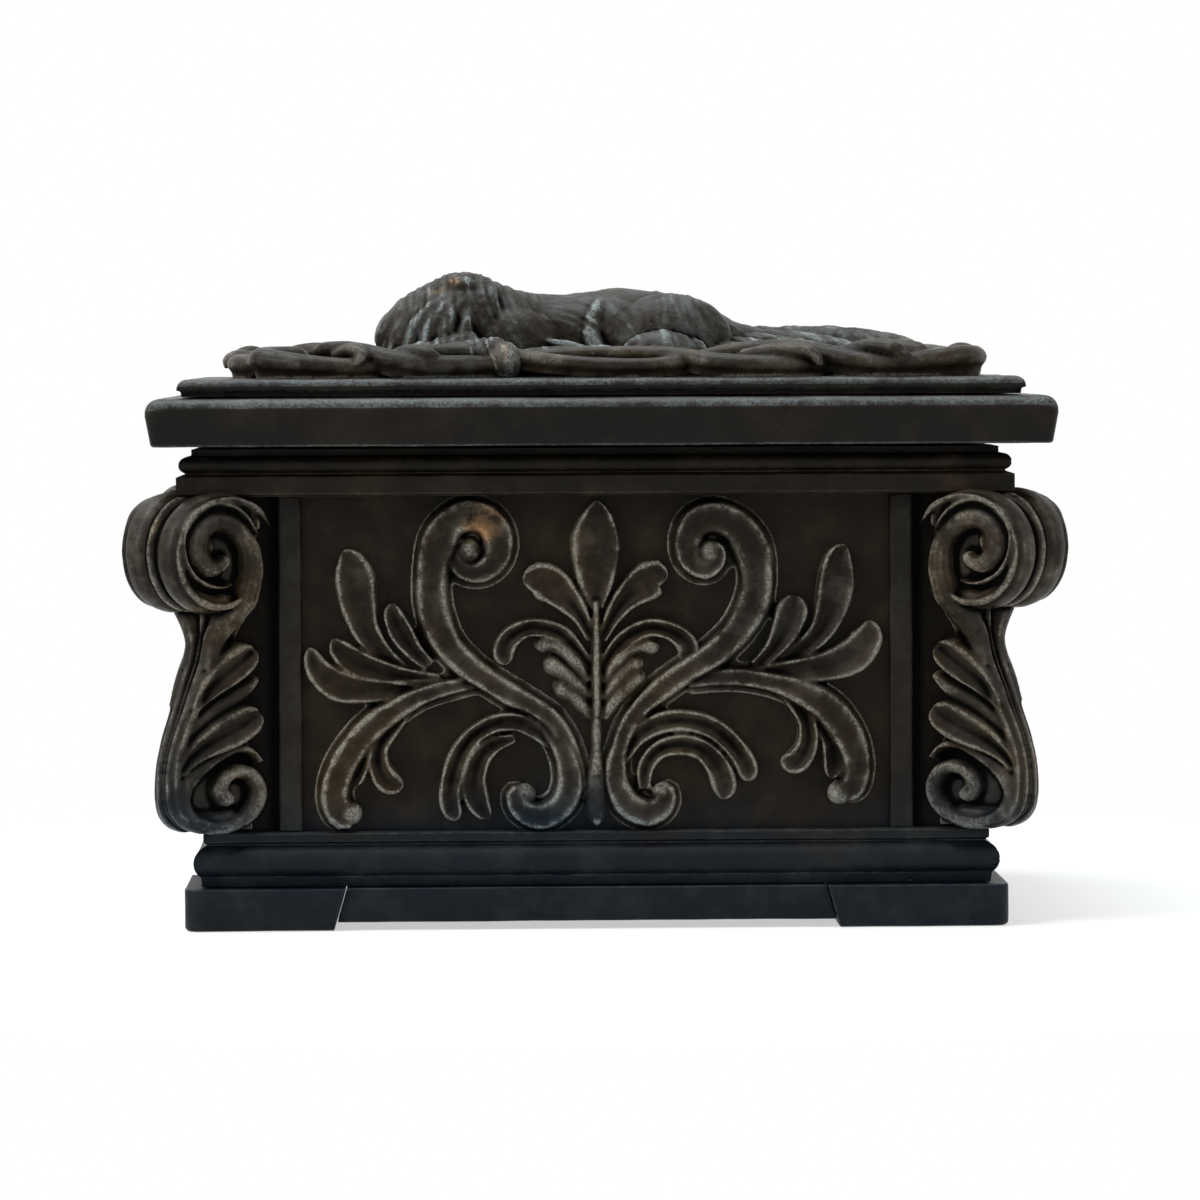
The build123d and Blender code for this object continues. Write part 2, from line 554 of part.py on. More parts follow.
def console_outline(inset):
    """The console's side view, drawn smaller all round its outer edge by the inset."""
    with BuildSketch() as outline:
        with Locations((VOLUTE_U, VOLUTE_Z)):
            Circle(VOLUTE_RADIUS - inset)
        with Locations((FOOT_VOLUTE_U, FOOT_VOLUTE_Z)):
            Circle(FOOT_VOLUTE_RADIUS - inset)
        edge = [(u - inset, z) for u, z in raised(CONSOLE_OUTLINE)]
        last = (FOOT_VOLUTE_U + FOOT_VOLUTE_RADIUS - inset, FOOT_VOLUTE_Z)
        back = [
            (FOOT_VOLUTE_U, FOOT_VOLUTE_Z),
            (FOOT_VOLUTE_U, Z_FIELD),
            (CONSOLE_BACK_U, Z_FIELD),
            (CONSOLE_BACK_U, Z_NECK),
            (edge[0][0], Z_NECK),
        ]
        with BuildLine():
            Spline(*edge, last, tangents=((0.4, -1), (0, -1)))
            Polyline(last, *back, edge[0])
        make_face()
    return outline.sketch


def console_carving():
    """The raised bands of the two cheeks."""
    with BuildSketch() as carving:
        for spine in (UPPER_SPIRAL, LOWER_SPIRAL, STEM_BAND, LOWER_BAND, UPPER_LOBE, MIDDLE_LOBE):
            add(leaf(spine))
        with Locations((VOLUTE_U, VOLUTE_Z)):
            Circle(2.2)
            add(ring(VOLUTE_RADIUS, VOLUTE_RING))
        with Locations((FOOT_VOLUTE_U, FOOT_VOLUTE_Z)):
            Circle(1.5)
            add(ring(FOOT_VOLUTE_RADIUS, FOOT_VOLUTE_RING))
    return carving.sketch


def between_cheeks(sketch, inset, cheek, outer_u, level, bottom, top):
    """A slice of the console between two heights and between its two splayed cheeks."""
    with BuildPart() as block:
        with BuildSketch(CONSOLE_PLANE):
            add(sketch)
        extrude(amount=20, both=True)
        for side in (1, -1):
            point = CORNER + OUTWARD * outer_u + ACROSS * side * (cheek["edge"] - inset) + Vector(0, 0, level)
            normal = OUTWARD * cheek["splay"] + ACROSS * side - Vector(0, 0, cheek["rise"])
            split(bisect_by=Plane(origin=point, z_dir=normal), keep=Keep.BOTTOM)
        split(bisect_by=Plane.XY.offset(bottom), keep=Keep.TOP)
        split(bisect_by=Plane.XY.offset(top), keep=Keep.BOTTOM)
    return block.part


def make_console():
    """The S-shaped console at the front left corner, standing between the two mouldings."""
    waist_z = raised([(0, CONSOLE_WAIST_Z)])[0][1]
    halves = (
        (UPPER_CHEEK, VOLUTE_U + VOLUTE_RADIUS, VOLUTE_Z, waist_z, Z_SLAB),
        (LOWER_CHEEK, FOOT_VOLUTE_U + FOOT_VOLUTE_RADIUS, FOOT_VOLUTE_Z, Z_FIELD, waist_z),
    )
    with BuildPart() as console:
        for cheek, outer_u, level, bottom, top in halves:
            add(between_cheeks(console_outline(0), CONSOLE_LAYER, cheek, outer_u, level, bottom, top))
            add(between_cheeks(console_carving(), 0, cheek, outer_u, level, bottom, top))
        # Two grooves part the outer face into a narrow middle bead and two broad reeds.
        with BuildSketch(CONSOLE_PLANE) as rind:
            add(console_outline(-1))
            add(console_outline(REED_GROOVE_DEPTH), mode=Mode.SUBTRACT)
        for side in (1, -1):
            extrude(
                rind.sketch.moved(Location(ACROSS * side * REED_GROOVE_OFFSET)),
                amount=REED_GROOVE_WIDTH / 2,
                both=True,
                mode=Mode.SUBTRACT,
            )
        # The carcase corner is let into the back, and the neck band into the top.
        for bottom, projection in ((Z_FIELD, 0), (Z_NECK, NECK_BAND_PROJECTION)):
            with BuildSketch(Plane.XY.offset(bottom)):
                with Locations((-HALF_W - projection, -HALF_D - projection)):
                    Rectangle(CARCASE_WIDTH, CARCASE_WIDTH, align=(Align.MIN, Align.MIN))
            extrude(amount=Z_SLAB - bottom, mode=Mode.SUBTRACT)
        split(bisect_by=Plane(origin=(-HALF_W + CONSOLE_REACH, 0, 0), z_dir=(1, 0, 0)), keep=Keep.BOTTOM)
        split(bisect_by=Plane(origin=(0, -HALF_D + CONSOLE_REACH, 0), z_dir=(0, 1, 0)), keep=Keep.BOTTOM)
    return console.part


console_part = make_console()
for corner, (flip_x, flip_y) in CORNERS.items():
    write_mirrored(console_part, f"console_{corner}", flip_x, flip_y)

# ---------------------------------------------------------------- felt lining of the box
INNER_W = CARCASE_WIDTH - 2 * WALL
INNER_D = CARCASE_DEPTH - 2 * WALL
Z_RIM = Z_SLAB - RIM_DEPTH
Z_FELT_TOP = Z_RIM - FELT_BELOW_RIM

with BuildPart() as felt_floor:
    with BuildSketch(Plane.XY.offset(Z_FLOOR)):
        Rectangle(INNER_W, INNER_D)
    extrude(amount=FELT)
write(felt_floor.part, "felt_floor")

for face, (turn, reach, half_run) in FACES.items():
    # The long linings run into the corners, and the short ones fit between them.
    half_length = half_run - WALL if face in ("front", "back") else half_run - WALL - FELT
    with BuildPart() as lining:
        with BuildSketch(Plane.XY.offset(Z_FLOOR + FELT)):
            with Locations((0, WALL + FELT / 2 - reach)):
                Rectangle(2 * half_length, FELT)
        extrude(amount=Z_FELT_TOP - Z_FLOOR - FELT)
    write_turned(lining.part, f"felt_{face}", turn)

# ---------------------------------------------------------------- lid
with BuildPart() as lid_slab:
    with BuildSketch(Plane.XY.offset(Z_SLAB)):
        RectangleRounded(
            CARCASE_WIDTH + 2 * (SLAB_PROJECTION - SLAB_UNDERCUT),
            CARCASE_DEPTH + 2 * (SLAB_PROJECTION - SLAB_UNDERCUT),
            SLAB_CORNER_RADIUS,
        )
    with BuildSketch(Plane.XY.offset(Z_SLAB + SLAB_EDGE_HEIGHT)):
        RectangleRounded(
            CARCASE_WIDTH + 2 * SLAB_PROJECTION,
            CARCASE_DEPTH + 2 * SLAB_PROJECTION,
            SLAB_CORNER_RADIUS,
        )
    loft()
    with BuildSketch(Plane.XY.offset(Z_SLAB + SLAB_EDGE_HEIGHT)):
        RectangleRounded(
            CARCASE_WIDTH + 2 * SLAB_PROJECTION,
            CARCASE_DEPTH + 2 * SLAB_PROJECTION,
            SLAB_CORNER_RADIUS,
        )
    extrude(amount=SLAB_THICKNESS - SLAB_EDGE_HEIGHT)
    fillet(lid_slab.faces().sort_by(Axis.Z)[-1].edges(), SLAB_TOP_RADIUS)
write_on_lid(lid_slab.part, "lid_slab")

with BuildPart() as lid_step:
    with BuildSketch(Plane.XY.offset(Z_STEP)):
        Rectangle(
            CARCASE_WIDTH + 2 * (STEP_PROJECTION - STEP_FILLET_PROUD),
            CARCASE_DEPTH + 2 * (STEP_PROJECTION - STEP_FILLET_PROUD),
        )
    extrude(amount=STEP_FILLET_HEIGHT)
    with BuildSketch(Plane.XY.offset(Z_STEP + STEP_FILLET_HEIGHT)):
        Rectangle(CARCASE_WIDTH + 2 * STEP_PROJECTION, CARCASE_DEPTH + 2 * STEP_PROJECTION)
    extrude(amount=STEP_THICKNESS - STEP_FILLET_HEIGHT)
    fillet(lid_step.faces().sort_by(Axis.Z)[-1].edges(), STEP_TOP_RADIUS)
write_on_lid(lid_step.part, "lid_step")

with BuildPart() as lid_rim:
    with BuildSketch(Plane.XY.offset(Z_RIM)):
        Rectangle(INNER_W - 2 * RIM_CLEARANCE, INNER_D - 2 * RIM_CLEARANCE)
        Rectangle(
            INNER_W - 2 * (RIM_CLEARANCE + RIM_THICKNESS),
            INNER_D - 2 * (RIM_CLEARANCE + RIM_THICKNESS),
            mode=Mode.SUBTRACT,
        )
    extrude(amount=RIM_DEPTH)
    chamfer(lid_rim.faces().sort_by(Axis.Z)[0].outer_wire().edges(), 0.6)
write_on_lid(lid_rim.part, "lid_locating_rim")

with BuildPart() as lid_felt:
    with BuildSketch(Plane.XY.offset(Z_SLAB - FELT)):
        Rectangle(
            INNER_W - 2 * (RIM_CLEARANCE + RIM_THICKNESS),
            INNER_D - 2 * (RIM_CLEARANCE + RIM_THICKNESS),
        )
    extrude(amount=FELT)
write_on_lid(lid_felt.part, "lid_felt")

# Interlaced vine round the top of the lid: the two strands of a long side and of a short side, as
# (along, out from the drawn middle of the lid, half width). The second strand of each lies higher.
LONG_VINE = [
    [(-57.5, 30, 2.4), (-61.4, 35.5, 2.5), (-59.5, 41, 2.6), (-53, 43.2, 2.5), (-46.5, 41.6, 2.3),
     (-40, 38.4, 2.1),
     (-33.5, 39.6, 2.3), (-27, 42, 2.2), (-20, 43, 2.2), (-12, 42.2, 1.9), (-4, 40.8, 1.8), (6, 40.5, 1.8),
     (14, 42, 2.0), (22, 43, 2.2), (30, 41.5, 2.2), (37, 38.2, 2.2), (44, 37, 2.1), (50.5, 40, 2.2),
     (57, 42, 2.2), (61.6, 39, 2.2), (61, 32, 2.0)],
    [(-53, 33, 1.9), (-46, 36.2, 2.1), (-39.5, 41.2, 2.1), (-33.5, 42.8, 2.1), (-27, 38.6, 2.0),
     (-16, 36.4, 1.9),
     (-3, 37.2, 1.8), (8, 38.4, 1.9), (16, 37.4, 2.0), (24, 36.6, 2.1), (32, 38.4, 2.1), (40, 42, 2.1),
     (46.5, 43.2, 2.2), (49.6, 41, 1.8)],
]
SHORT_VINE = [
    [(-27, 59.4, 2.0), (-24, 57.4, 2.2), (-17, 57.6, 2.2), (-9, 61, 2.1), (-1, 62.6, 2.1), (8, 60.6, 2.1),
     (15, 57.6, 2.2), (22, 58, 2.2), (27, 60, 1.8)],
    [(-27, 59, 1.8), (-23, 61.4, 2.1), (-15, 62.4, 2.1), (-7, 58.6, 2.1), (1, 57.4, 2.2), (9, 58, 2.2),
     (16, 61.6, 2.1), (24, 62.4, 2.1), (27, 60.6, 1.8)],
]
VINE_HEIGHTS = (4.6, 5.6)


def make_vine(strands, half_run, drawn_half_run, shift):
    """The crossing strands of one side, spread along it and kept at the same distance from its edge."""
    stretch = (half_run + STEP_PROJECTION) / (drawn_half_run + STEP_PROJECTION)
    with BuildPart() as vine:
        for strand, height in zip(strands, VINE_HEIGHTS):
            with BuildSketch(Plane.XY.offset(Z_TOP)):
                add(leaf([(along * stretch, -out - shift, half) for along, out, half in strand]))
            extrude(amount=height)
    return vine.part


for face, (turn, reach, half_run) in FACES.items():
    if half_run == HALF_W:
        vine_part = make_vine(LONG_VINE, HALF_W, DRAWN_HALF_W, HALF_D - DRAWN_HALF_D)
    else:
        vine_part = make_vine(SHORT_VINE, HALF_D, DRAWN_HALF_D, HALF_W - DRAWN_HALF_W)
    write_on_lid(vine_part, f"lid_ribbon_{face}", turn)


# The recumbent maned beast on the middle of the lid: (x, y, half width, height) of its trunk from chest
# to rump.
TRUNK = [
    (-36.4, -1, 3.5, 5.6), (-35.2, -1, 6.5, 9.6), (-32.6, -1, 9.5, 12.2), (-28.5, -1, 11.5, 14.9),
    (-24.8, -1, 12, 17),
    (-21.8, -1, 12, 18.1), (-18.4, 0, 11.6, 16.5), (-14.6, 0, 11, 15), (-10.8, 1, 10.6, 14.3),
    (-5.4, 1, 10.2, 14),
    (-0.4, 1, 10.8, 14.4), (4, 1, 11.6, 15.1), (10, 1, 12, 14.5), (15.2, 1, 11.5, 13.2), (19.4, 1, 10, 11.3),
    (23.2, 1, 8, 9.6), (28, 1, 5, 8), (32, 1, 3, 6),
]
# Muzzle, shoulders and haunches: (x, y, height of the centre, radius).
ROUND_MASSES = [
    (-38, 1.5, 2.0, 3.6), (-30, -5.5, 5.5, 6.6), (-16, -8.2, 4.6, 6.8), (-16, 8.6, 4.6, 6.8),
    (12.5, -6.6, 5.4, 8.2), (12.5, 7.8, 5, 8.2), (11, -14.8, 1.5, 5.8),
]
# Legs: (x, y, half width) along each.
LIMBS = [
    [(-20, -12, 3.6), (-27, -18, 3.0), (-29, -24, 2.6), (-26.6, -29, 2.4), (-23.6, -32, 2.0)],
    [(18, -13.5, 3.6), (10, -18.5, 3.0), (2, -21.5, 2.6), (-6, -22.5, 2.4), (-14, -22, 2.0)],
    [(20, -9, 3.4), (27, -16, 2.8), (26, -24, 2.4), (18, -28, 2.2), (8, -28.5, 2.2), (-2, -28, 2.0)],
    [(-12, 13, 3.6), (-24, 17.5, 3.0), (-37, 17, 2.4)],
    [(24, 11, 3.8), (12, 17, 3.2), (-1, 19.5, 2.4)],
]
LIMB_HEIGHT = 5.2
# Tail: a high lock of hair that sweeps round, and the lower locks within it.
TAIL = [
    (22, 3, 3.2), (30, 6, 3.2), (40, 6.5, 3.2), (47.5, 3.5, 3.0), (51.0, -3, 2.8), (50.2, -10, 2.4),
    (46.5, -15, 1.6),
]
TAIL_HEIGHT = 7.6
TAIL_LOCKS = [
    [(20, 0, 3.0), (28, 1.6, 2.8), (35, 0.6, 2.6), (39.6, -4.5, 2.4), (41.0, -11, 2.0), (39.6, -17, 1.4)],
    [(20, -4, 3.0), (26, -5, 2.6), (31, -7, 2.4), (33.6, -12, 2.0), (33.4, -18, 1.4)],
    [(22, 6, 2.6), (30, 11, 2.6), (40, 13, 2.5), (48, 11.5, 2.2), (52.4, 7, 1.8)],
]
TAIL_LOCK_HEIGHT = 6.0

with BuildPart() as lid_figure:
    for x, y, half, height in TRUNK:
        with BuildSketch(Plane(origin=(x, y, Z_TOP), x_dir=(0, 1, 0), z_dir=(1, 0, 0))):
            Ellipse(half, height)
    loft()
    for x, y, rise, radius in ROUND_MASSES:
        with Locations((x, y, Z_TOP + rise)):
            Sphere(radius)
    for spines, height in ((LIMBS, LIMB_HEIGHT), ([TAIL], TAIL_HEIGHT), (TAIL_LOCKS, TAIL_LOCK_HEIGHT)):
        for spine in spines:
            with BuildSketch(Plane.XY.offset(Z_TOP)):
                add(leaf(spine))
            extrude(amount=height)
    split(bisect_by=Plane.XY.offset(Z_TOP), keep=Keep.TOP)
write_on_lid(lid_figure.part, "lid_figure")
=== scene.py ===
# %% [markdown]
# # A cast casket with a loose lid
# The real piece is a small desk casket, cast in hard resin from a carved pattern, painted
# black and rubbed with a little silver and bronze wax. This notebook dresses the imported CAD
# frame. The seats of the pieces come from the frame, the carving is drawn here in millimetres,
# and each step below adds one part of the surface.

# %% Load the frame
import math

import bmesh
import bpy
import numpy as np
from mathutils import Matrix, Vector, noise


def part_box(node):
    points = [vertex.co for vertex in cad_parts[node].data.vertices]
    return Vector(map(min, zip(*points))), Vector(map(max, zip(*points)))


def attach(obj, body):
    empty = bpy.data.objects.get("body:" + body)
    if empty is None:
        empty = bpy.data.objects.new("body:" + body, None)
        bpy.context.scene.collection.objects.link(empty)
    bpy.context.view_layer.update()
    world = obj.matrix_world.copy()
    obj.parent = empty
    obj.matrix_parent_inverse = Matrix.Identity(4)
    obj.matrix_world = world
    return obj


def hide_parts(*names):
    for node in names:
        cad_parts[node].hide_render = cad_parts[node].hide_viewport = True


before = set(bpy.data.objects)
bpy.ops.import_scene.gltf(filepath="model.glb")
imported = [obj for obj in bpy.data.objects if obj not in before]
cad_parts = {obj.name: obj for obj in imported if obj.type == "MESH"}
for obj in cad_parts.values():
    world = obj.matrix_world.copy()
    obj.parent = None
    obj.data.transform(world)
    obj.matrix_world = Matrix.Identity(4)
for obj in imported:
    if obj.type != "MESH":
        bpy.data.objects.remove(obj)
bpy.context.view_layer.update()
MM = 0.001

# %% [markdown]
# ## The camera
# The casket is seen nearly straight on, a little from above, from about ninety centimetres
# away with a long lens. Placing the camera by its own coordinates and turning it by three
# small angles is the simplest way to hold such a view.

# %% Camera
CAMERA_PLACE = (-0.0245, -0.9127, 0.0939)
TURNED_RIGHT = 0.0289
TIPPED_DOWN = 0.0464
ROLLED = 0.0047
LENS_LENGTH = 160.6
SENSOR_WIDTH = 36

camera_data = bpy.data.cameras.new("camera")
camera_data.lens = LENS_LENGTH
camera_data.sensor_width = SENSOR_WIDTH
camera_data.clip_end = 20
camera = bpy.data.objects.new("camera", camera_data)
bpy.context.scene.collection.objects.link(camera)
camera.matrix_world = (
    Matrix.Translation(CAMERA_PLACE)
    @ Matrix.Rotation(-TURNED_RIGHT, 4, "Z")
    @ Matrix.Rotation(math.pi / 2 - TIPPED_DOWN, 4, "X")
    @ Matrix.Rotation(-ROLLED, 4, "Z")
)
bpy.context.scene.camera = camera
bpy.context.scene.view_settings.view_transform = "Standard"
print("camera stands at", CAMERA_PLACE)

# %% [markdown]
# ## Shader maths in plain Python
# A finish in Blender is a net of nodes. Written out one by one the net is hard to read, so a
# small class wraps a socket and lets values be added and multiplied as in ordinary Python.
# One method of a second class makes any other node from its type, settings and inputs.


# %% A wire that can be calculated with
class Wire:
    """One output socket of a finish, which takes part in arithmetic."""

    def __init__(self, finish, socket):
        self.finish = finish
        self.socket = socket

    def _maths(self, operation, first, second):
        return self.finish.node("ShaderNodeMath", {"operation": operation}, {0: first, 1: second})

    def __add__(self, other):
        return self._maths("ADD", self, other)

    def __radd__(self, other):
        return self._maths("ADD", other, self)

    def __sub__(self, other):
        return self._maths("SUBTRACT", self, other)

    def __rsub__(self, other):
        return self._maths("SUBTRACT", other, self)

    def __mul__(self, other):
        return self._maths("MULTIPLY", self, other)

    def __rmul__(self, other):
        return self._maths("MULTIPLY", other, self)

    def at_most(self, other):
        return self._maths("MINIMUM", self, other)

    def at_least(self, other):
        return self._maths("MAXIMUM", self, other)

    def size(self):
        return self._maths("ABSOLUTE", self, 0.0)


# %% A finish that grows node by node
class Finish:
    """The node net of a material or of the world, whose nodes are added by one method."""

    def __init__(self, owner):
        self.owner = owner
        owner.use_nodes = True
        self.tree = owner.node_tree
        self.tree.nodes.clear()

    def node(self, kind, settings=None, inputs=None, out=0):
        """Adds a node, sets its settings, fills its sockets and returns one output as a wire."""
        made = self.tree.nodes.new(kind)
        for setting, value in (settings or {}).items():
            setattr(made, setting, value)
        for key, value in (inputs or {}).items():
            if isinstance(value, Wire):
                self.tree.links.new(value.socket, made.inputs[key])
            else:
                made.inputs[key].default_value = value
        return Wire(self, made.outputs[out]) if len(made.outputs) else None

    def place(self):
        """Object coordinates, in metres, as a wire."""
        return self.node("ShaderNodeTexCoord", out="Object")

    def grain(self, scale, detail=3.0, roughness=0.55):
        """Soft noise from 0 to 1, with this many lumps to the metre."""
        inputs = {"Vector": self.place(), "Scale": scale, "Detail": detail, "Roughness": roughness}
        return self.node("ShaderNodeTexNoise", {}, inputs, out="Fac")

    def step(self, value, low, high):
        """0 below low, 1 above high, with a soft change between."""
        settings = {"interpolation_type": "SMOOTHSTEP"}
        inputs = {"Value": value, "From Min": low, "From Max": high, "To Min": 0.0, "To Max": 1.0}
        return self.node("ShaderNodeMapRange", settings, inputs)

    def mix(self, share, first, second):
        """Colour first where share is 0, second where it is 1."""
        settings = {"data_type": "RGBA", "blend_type": "MIX"}
        return self.node("ShaderNodeMix", settings, {0: share, 6: first, 7: second}, out=2)

    def kept(self, name):
        """A value that the mesh keeps at each vertex."""
        return self.node("ShaderNodeAttribute", {"attribute_name": name}, out="Fac")

    def seen_white(self):
        """1 for rays from the camera and mirrored or passing rays, 0 for light that falls on things."""
        kinds = ("Camera", "Glossy", "Transmission")
        rays = [self.node("ShaderNodeLightPath", out=f"Is {kind} Ray") for kind in kinds]
        return (rays[0] + rays[1] + rays[2]).at_most(1.0)


def colour(red, green, blue):
    return (red, green, blue, 1.0)


# %% [markdown]
# ## The blackened cast finish
# The resin is black all through, stained a warm brown-black above and a bluish slate-black
# low down, and it was rubbed with silver wax, which catches only on ridges. A few places show
# bronze. Painting that by hand would need an unwrapped mesh, and noise alone would ignore the
# carving. So each mesh keeps two values at its vertices, how far a place stands out as a ridge
# and how deep it lies in a hollow, and the wax and a painted shade in the hollows follow them
# from every side.

# %% Blacks and waxes
WARM_BLACK = colour(0.0116, 0.0085, 0.0050)
COOL_BLACK = colour(0.0029, 0.0091, 0.0172)
SILVER_WAX = colour(0.138, 0.168, 0.172)
WARM_WAX = colour(0.215, 0.172, 0.115)
BRONZE_WAX = colour(0.230, 0.125, 0.052)
BROWN_STAIN = colour(0.036, 0.022, 0.009)
# The black of the painted shade in crevices and hollows, and of the dull shader there.
DEEP_BLACK = colour(0.0016, 0.0015, 0.0014)
# Places that are rubbed to bronze: middle and reach, in millimetres.
BRONZE_SPOTS = [
    ((-24.0, -8.0, 105.4), 4.0), ((-18.5, -44.0, 66.0), 4.5), ((-69.0, -49.0, 64.5), 4.0),
    ((66.5, -47.0, 63.0), 4.5), ((60.0, -44.5, 74.6), 7.0), ((-15.0, -40.0, 93.0), 3.5),
]
# The slate-black comes in between these two heights, in metres.
SLATE_TOP, SLATE_FOOT = 0.030, 0.008
print("rubbed to bronze at", len(BRONZE_SPOTS), "places")


# %% What every piece of resin has
class CastResin(Finish):
    """The net of one resin: four grains from clouds to dust, and the mesh's ridges and hollows."""

    def __init__(self, name):
        super().__init__(bpy.data.materials.new(name))
        self.here = self.place()
        self.cloud = self.grain(34, 3)
        self.blotch = self.grain(150, 4, 0.6)
        self.streak = self.grain(560, 5, 0.7)
        self.fine = self.grain(2400, 3, 0.65)
        self.ridge = self.kept("ridge")
        self.hollow = self.kept("hollow")
        height = self.along("Z")
        self.low_down = self.step(height + (self.cloud - 0.5) * 0.03, SLATE_TOP, SLATE_FOOT)

    def along(self, axis):
        """The place along one axis."""
        return self.node("ShaderNodeSeparateXYZ", {}, {"Vector": self.here}, out=axis)

    def blackened(self, stain):
        """The bare black, with brown stains in clouds, more of them high up."""
        body = self.mix(self.low_down, WARM_BLACK, COOL_BLACK)
        clouds = self.step(self.cloud * 0.55 + self.blotch * 0.45, 0.44, 0.66)
        return self.mix(clouds * stain * (1.0 - self.low_down * 0.7), body, BROWN_STAIN)

    def plain_wax(self, warmth):
        """The wax's colour, silver low down and a little browner high up."""
        warm = (1.0 - self.low_down) * warmth * (0.6 + 0.8 * self.cloud)
        return self.mix(warm, SILVER_WAX, WARM_WAX)

    def left_grey(self):
        """Blotches in which a trace of wax was left on the flats."""
        return self.step(self.blotch + (self.streak - 0.5) * 0.5, 0.42, 0.72)

    def sunk(self):
        """Where a place lies deep in a crevice, which the finish darkens as painted shade."""
        return self.step(self.hollow + (self.blotch - 0.5) * 0.3, 0.70, 2.10)


# %% [markdown]
# A cloth catches the ridges, but not evenly: it skips, and its edge leaves a thin patchy veil
# beside them. A few places that fingers reach have lost the silver and show bronze. Sand in the
# mould and bubbles in the resin leave pits, and these need no geometry, only a bent normal.


# %% Wax, wear and pits
def worn_off(resin):
    """Where the wax caught: on broken stretches of the ridges, and as a veil beside them."""
    streaks, blotches, clouds = resin.streak - 0.5, resin.blotch - 0.5, resin.cloud - 0.5
    caught = resin.step(resin.ridge + streaks * 1.30 + blotches * 1.20 + clouds * 1.0, 0.42, 1.15)
    caught = caught * (0.25 + 0.75 * resin.step(resin.fine, 0.38, 0.60))
    patchy = resin.step(resin.blotch * 0.5 + resin.streak * 0.5, 0.40, 0.62)
    veil = resin.step(resin.ridge + streaks * 0.4, 0.00, 0.50) * (0.01 + 0.14 * patchy)
    return caught.at_least(veil)


def rubbed_to_bronze(resin):
    """The few places that handling has rubbed to bronze."""
    rubbed = None
    for middle, reach in BRONZE_SPOTS:
        centre = [number * MM for number in middle]
        both = {0: resin.here, 1: centre}
        off = resin.node("ShaderNodeVectorMath", {"operation": "DISTANCE"}, both, out="Value")
        spot = resin.step(off + (resin.streak - 0.5) * 0.004, reach * MM, reach * 0.45 * MM)
        rubbed = spot if rubbed is None else rubbed.at_least(spot)
    return rubbed


def bent_normal(resin):
    """Scratches, lumps and pinholes."""
    cells = {"Vector": resin.here, "Scale": 420}
    pits = resin.node("ShaderNodeTexVoronoi", {"feature": "F1"}, cells, out="Distance")
    pit = resin.step(pits, 0.14, 0.07) * resin.step(resin.grain(90, 1), 0.55, 0.62)
    relief = resin.streak * 0.80 + resin.fine * 0.35 + resin.blotch * 1.6 - pit * 1.4
    bump = {"Strength": 0.6, "Distance": 0.00026, "Height": relief}
    return resin.node("ShaderNodeBump", {}, bump)


# %% [markdown]
# Deep crevices get painted shade, as hardly any light comes back from them: their colour is
# darkened, and a second, dull black shader mixed in there takes away the gloss as well. The
# strips of wall between a console and the fillet next to it lie in shade too, so painted
# shade is added there by place.

# %% Crevices and wall strips: painted shade
# Painted shade beside a fillet: where it ends and where it is full, in millimetres beyond the fillet's
# edge.
CORNER_SHADE_ENDS, CORNER_SHADE_FULL = 2.4, 0.6
CORNER_SHADE_FEATHER = 0.3


def painted_shade_by_consoles(resin):
    """Painted shade on the strips of wall behind the consoles, darkest next to the fillets."""
    edges = {"X": abs(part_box("stiles_front")[0].x), "Y": abs(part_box("stiles_left")[0].y)}
    beyond, beside = [], []
    for axis, edge in edges.items():
        reach = resin.along(axis).size()
        beyond.append(resin.step(reach, edge - CORNER_SHADE_FEATHER * MM, edge))
        beside.append(resin.step(reach, edge + CORNER_SHADE_ENDS * MM, edge + CORNER_SHADE_FULL * MM))
    return beyond[0] * beyond[1] * (0.45 + 0.55 * beside[0].at_least(beside[1]))


# %% The whole finish
def cast_finish(name, wax, stain, sheen, gloss=0.42, dark=1.0, grey=0.085, warmth=0.3, corner_shade=False):
    """Black resin with rubbed ridges and painted shade: wax is silver on ridges, stain is brown on flats.

    dark dims the whole, grey is how much wax was left all over the surface, warmth is how brown
    the wax is high up, and the last one asks for painted shade on the strips of wall behind the consoles.
    """
    resin = CastResin(name)
    left_grey, plain_wax = resin.left_grey(), resin.plain_wax(warmth)
    worn, rubbed = worn_off(resin), rubbed_to_bronze(resin)
    # sunk is painted shade: crevices, and with the last argument the wall strips behind the consoles, are
    # darkened.
    sunk = resin.sunk().at_least(painted_shade_by_consoles(resin)) if corner_shade else resin.sunk()

    body = resin.mix(left_grey * grey, resin.blackened(stain), plain_wax)
    body = resin.mix(sunk * 0.9, body, DEEP_BLACK)
    # Painted shade by form: the black body is darker in hollows and brightest on ridges.
    standing = resin.step(resin.ridge - resin.hollow * 0.5, -0.55, 0.75)
    body = resin.mix(dark * (0.55 + 0.60 * standing), DEEP_BLACK, body)
    waxed = ((worn + rubbed * 0.35 * left_grey) * wax).at_most(0.95)
    body = resin.mix(waxed, body, resin.mix(rubbed, plain_wax, BRONZE_WAX))

    rough = gloss + (resin.blotch - 0.5) * 0.16 + (resin.fine - 0.5) * 0.10
    rough = rough + resin.hollow * 0.20 - worn * 0.05
    satin = resin.node("ShaderNodeBsdfPrincipled", {}, {
        "Base Color": body, "Roughness": rough, "Normal": bent_normal(resin), "Specular IOR Level": sheen,
    })
    # Painted shade: a dull black shader mixed in deep in the crevices takes their gloss away too.
    dull = resin.node("ShaderNodeBsdfPrincipled", {}, {
        "Base Color": DEEP_BLACK, "Roughness": 0.9, "Specular IOR Level": 0.0,
    })
    resin.node("ShaderNodeOutputMaterial", {}, {
        "Surface": resin.node("ShaderNodeMixShader", {}, {0: sunk * 0.85, 1: satin, 2: dull}),
    })
    return resin.owner


# %% [markdown]
# One recipe serves the whole casket, with more or less of each thing. The mouldings, feet and
# fillets were hardly waxed, the lid caught a little more, the ground of the fields stayed
# darkest, and the carving, the consoles, the vines and above all the beast were rubbed bright.

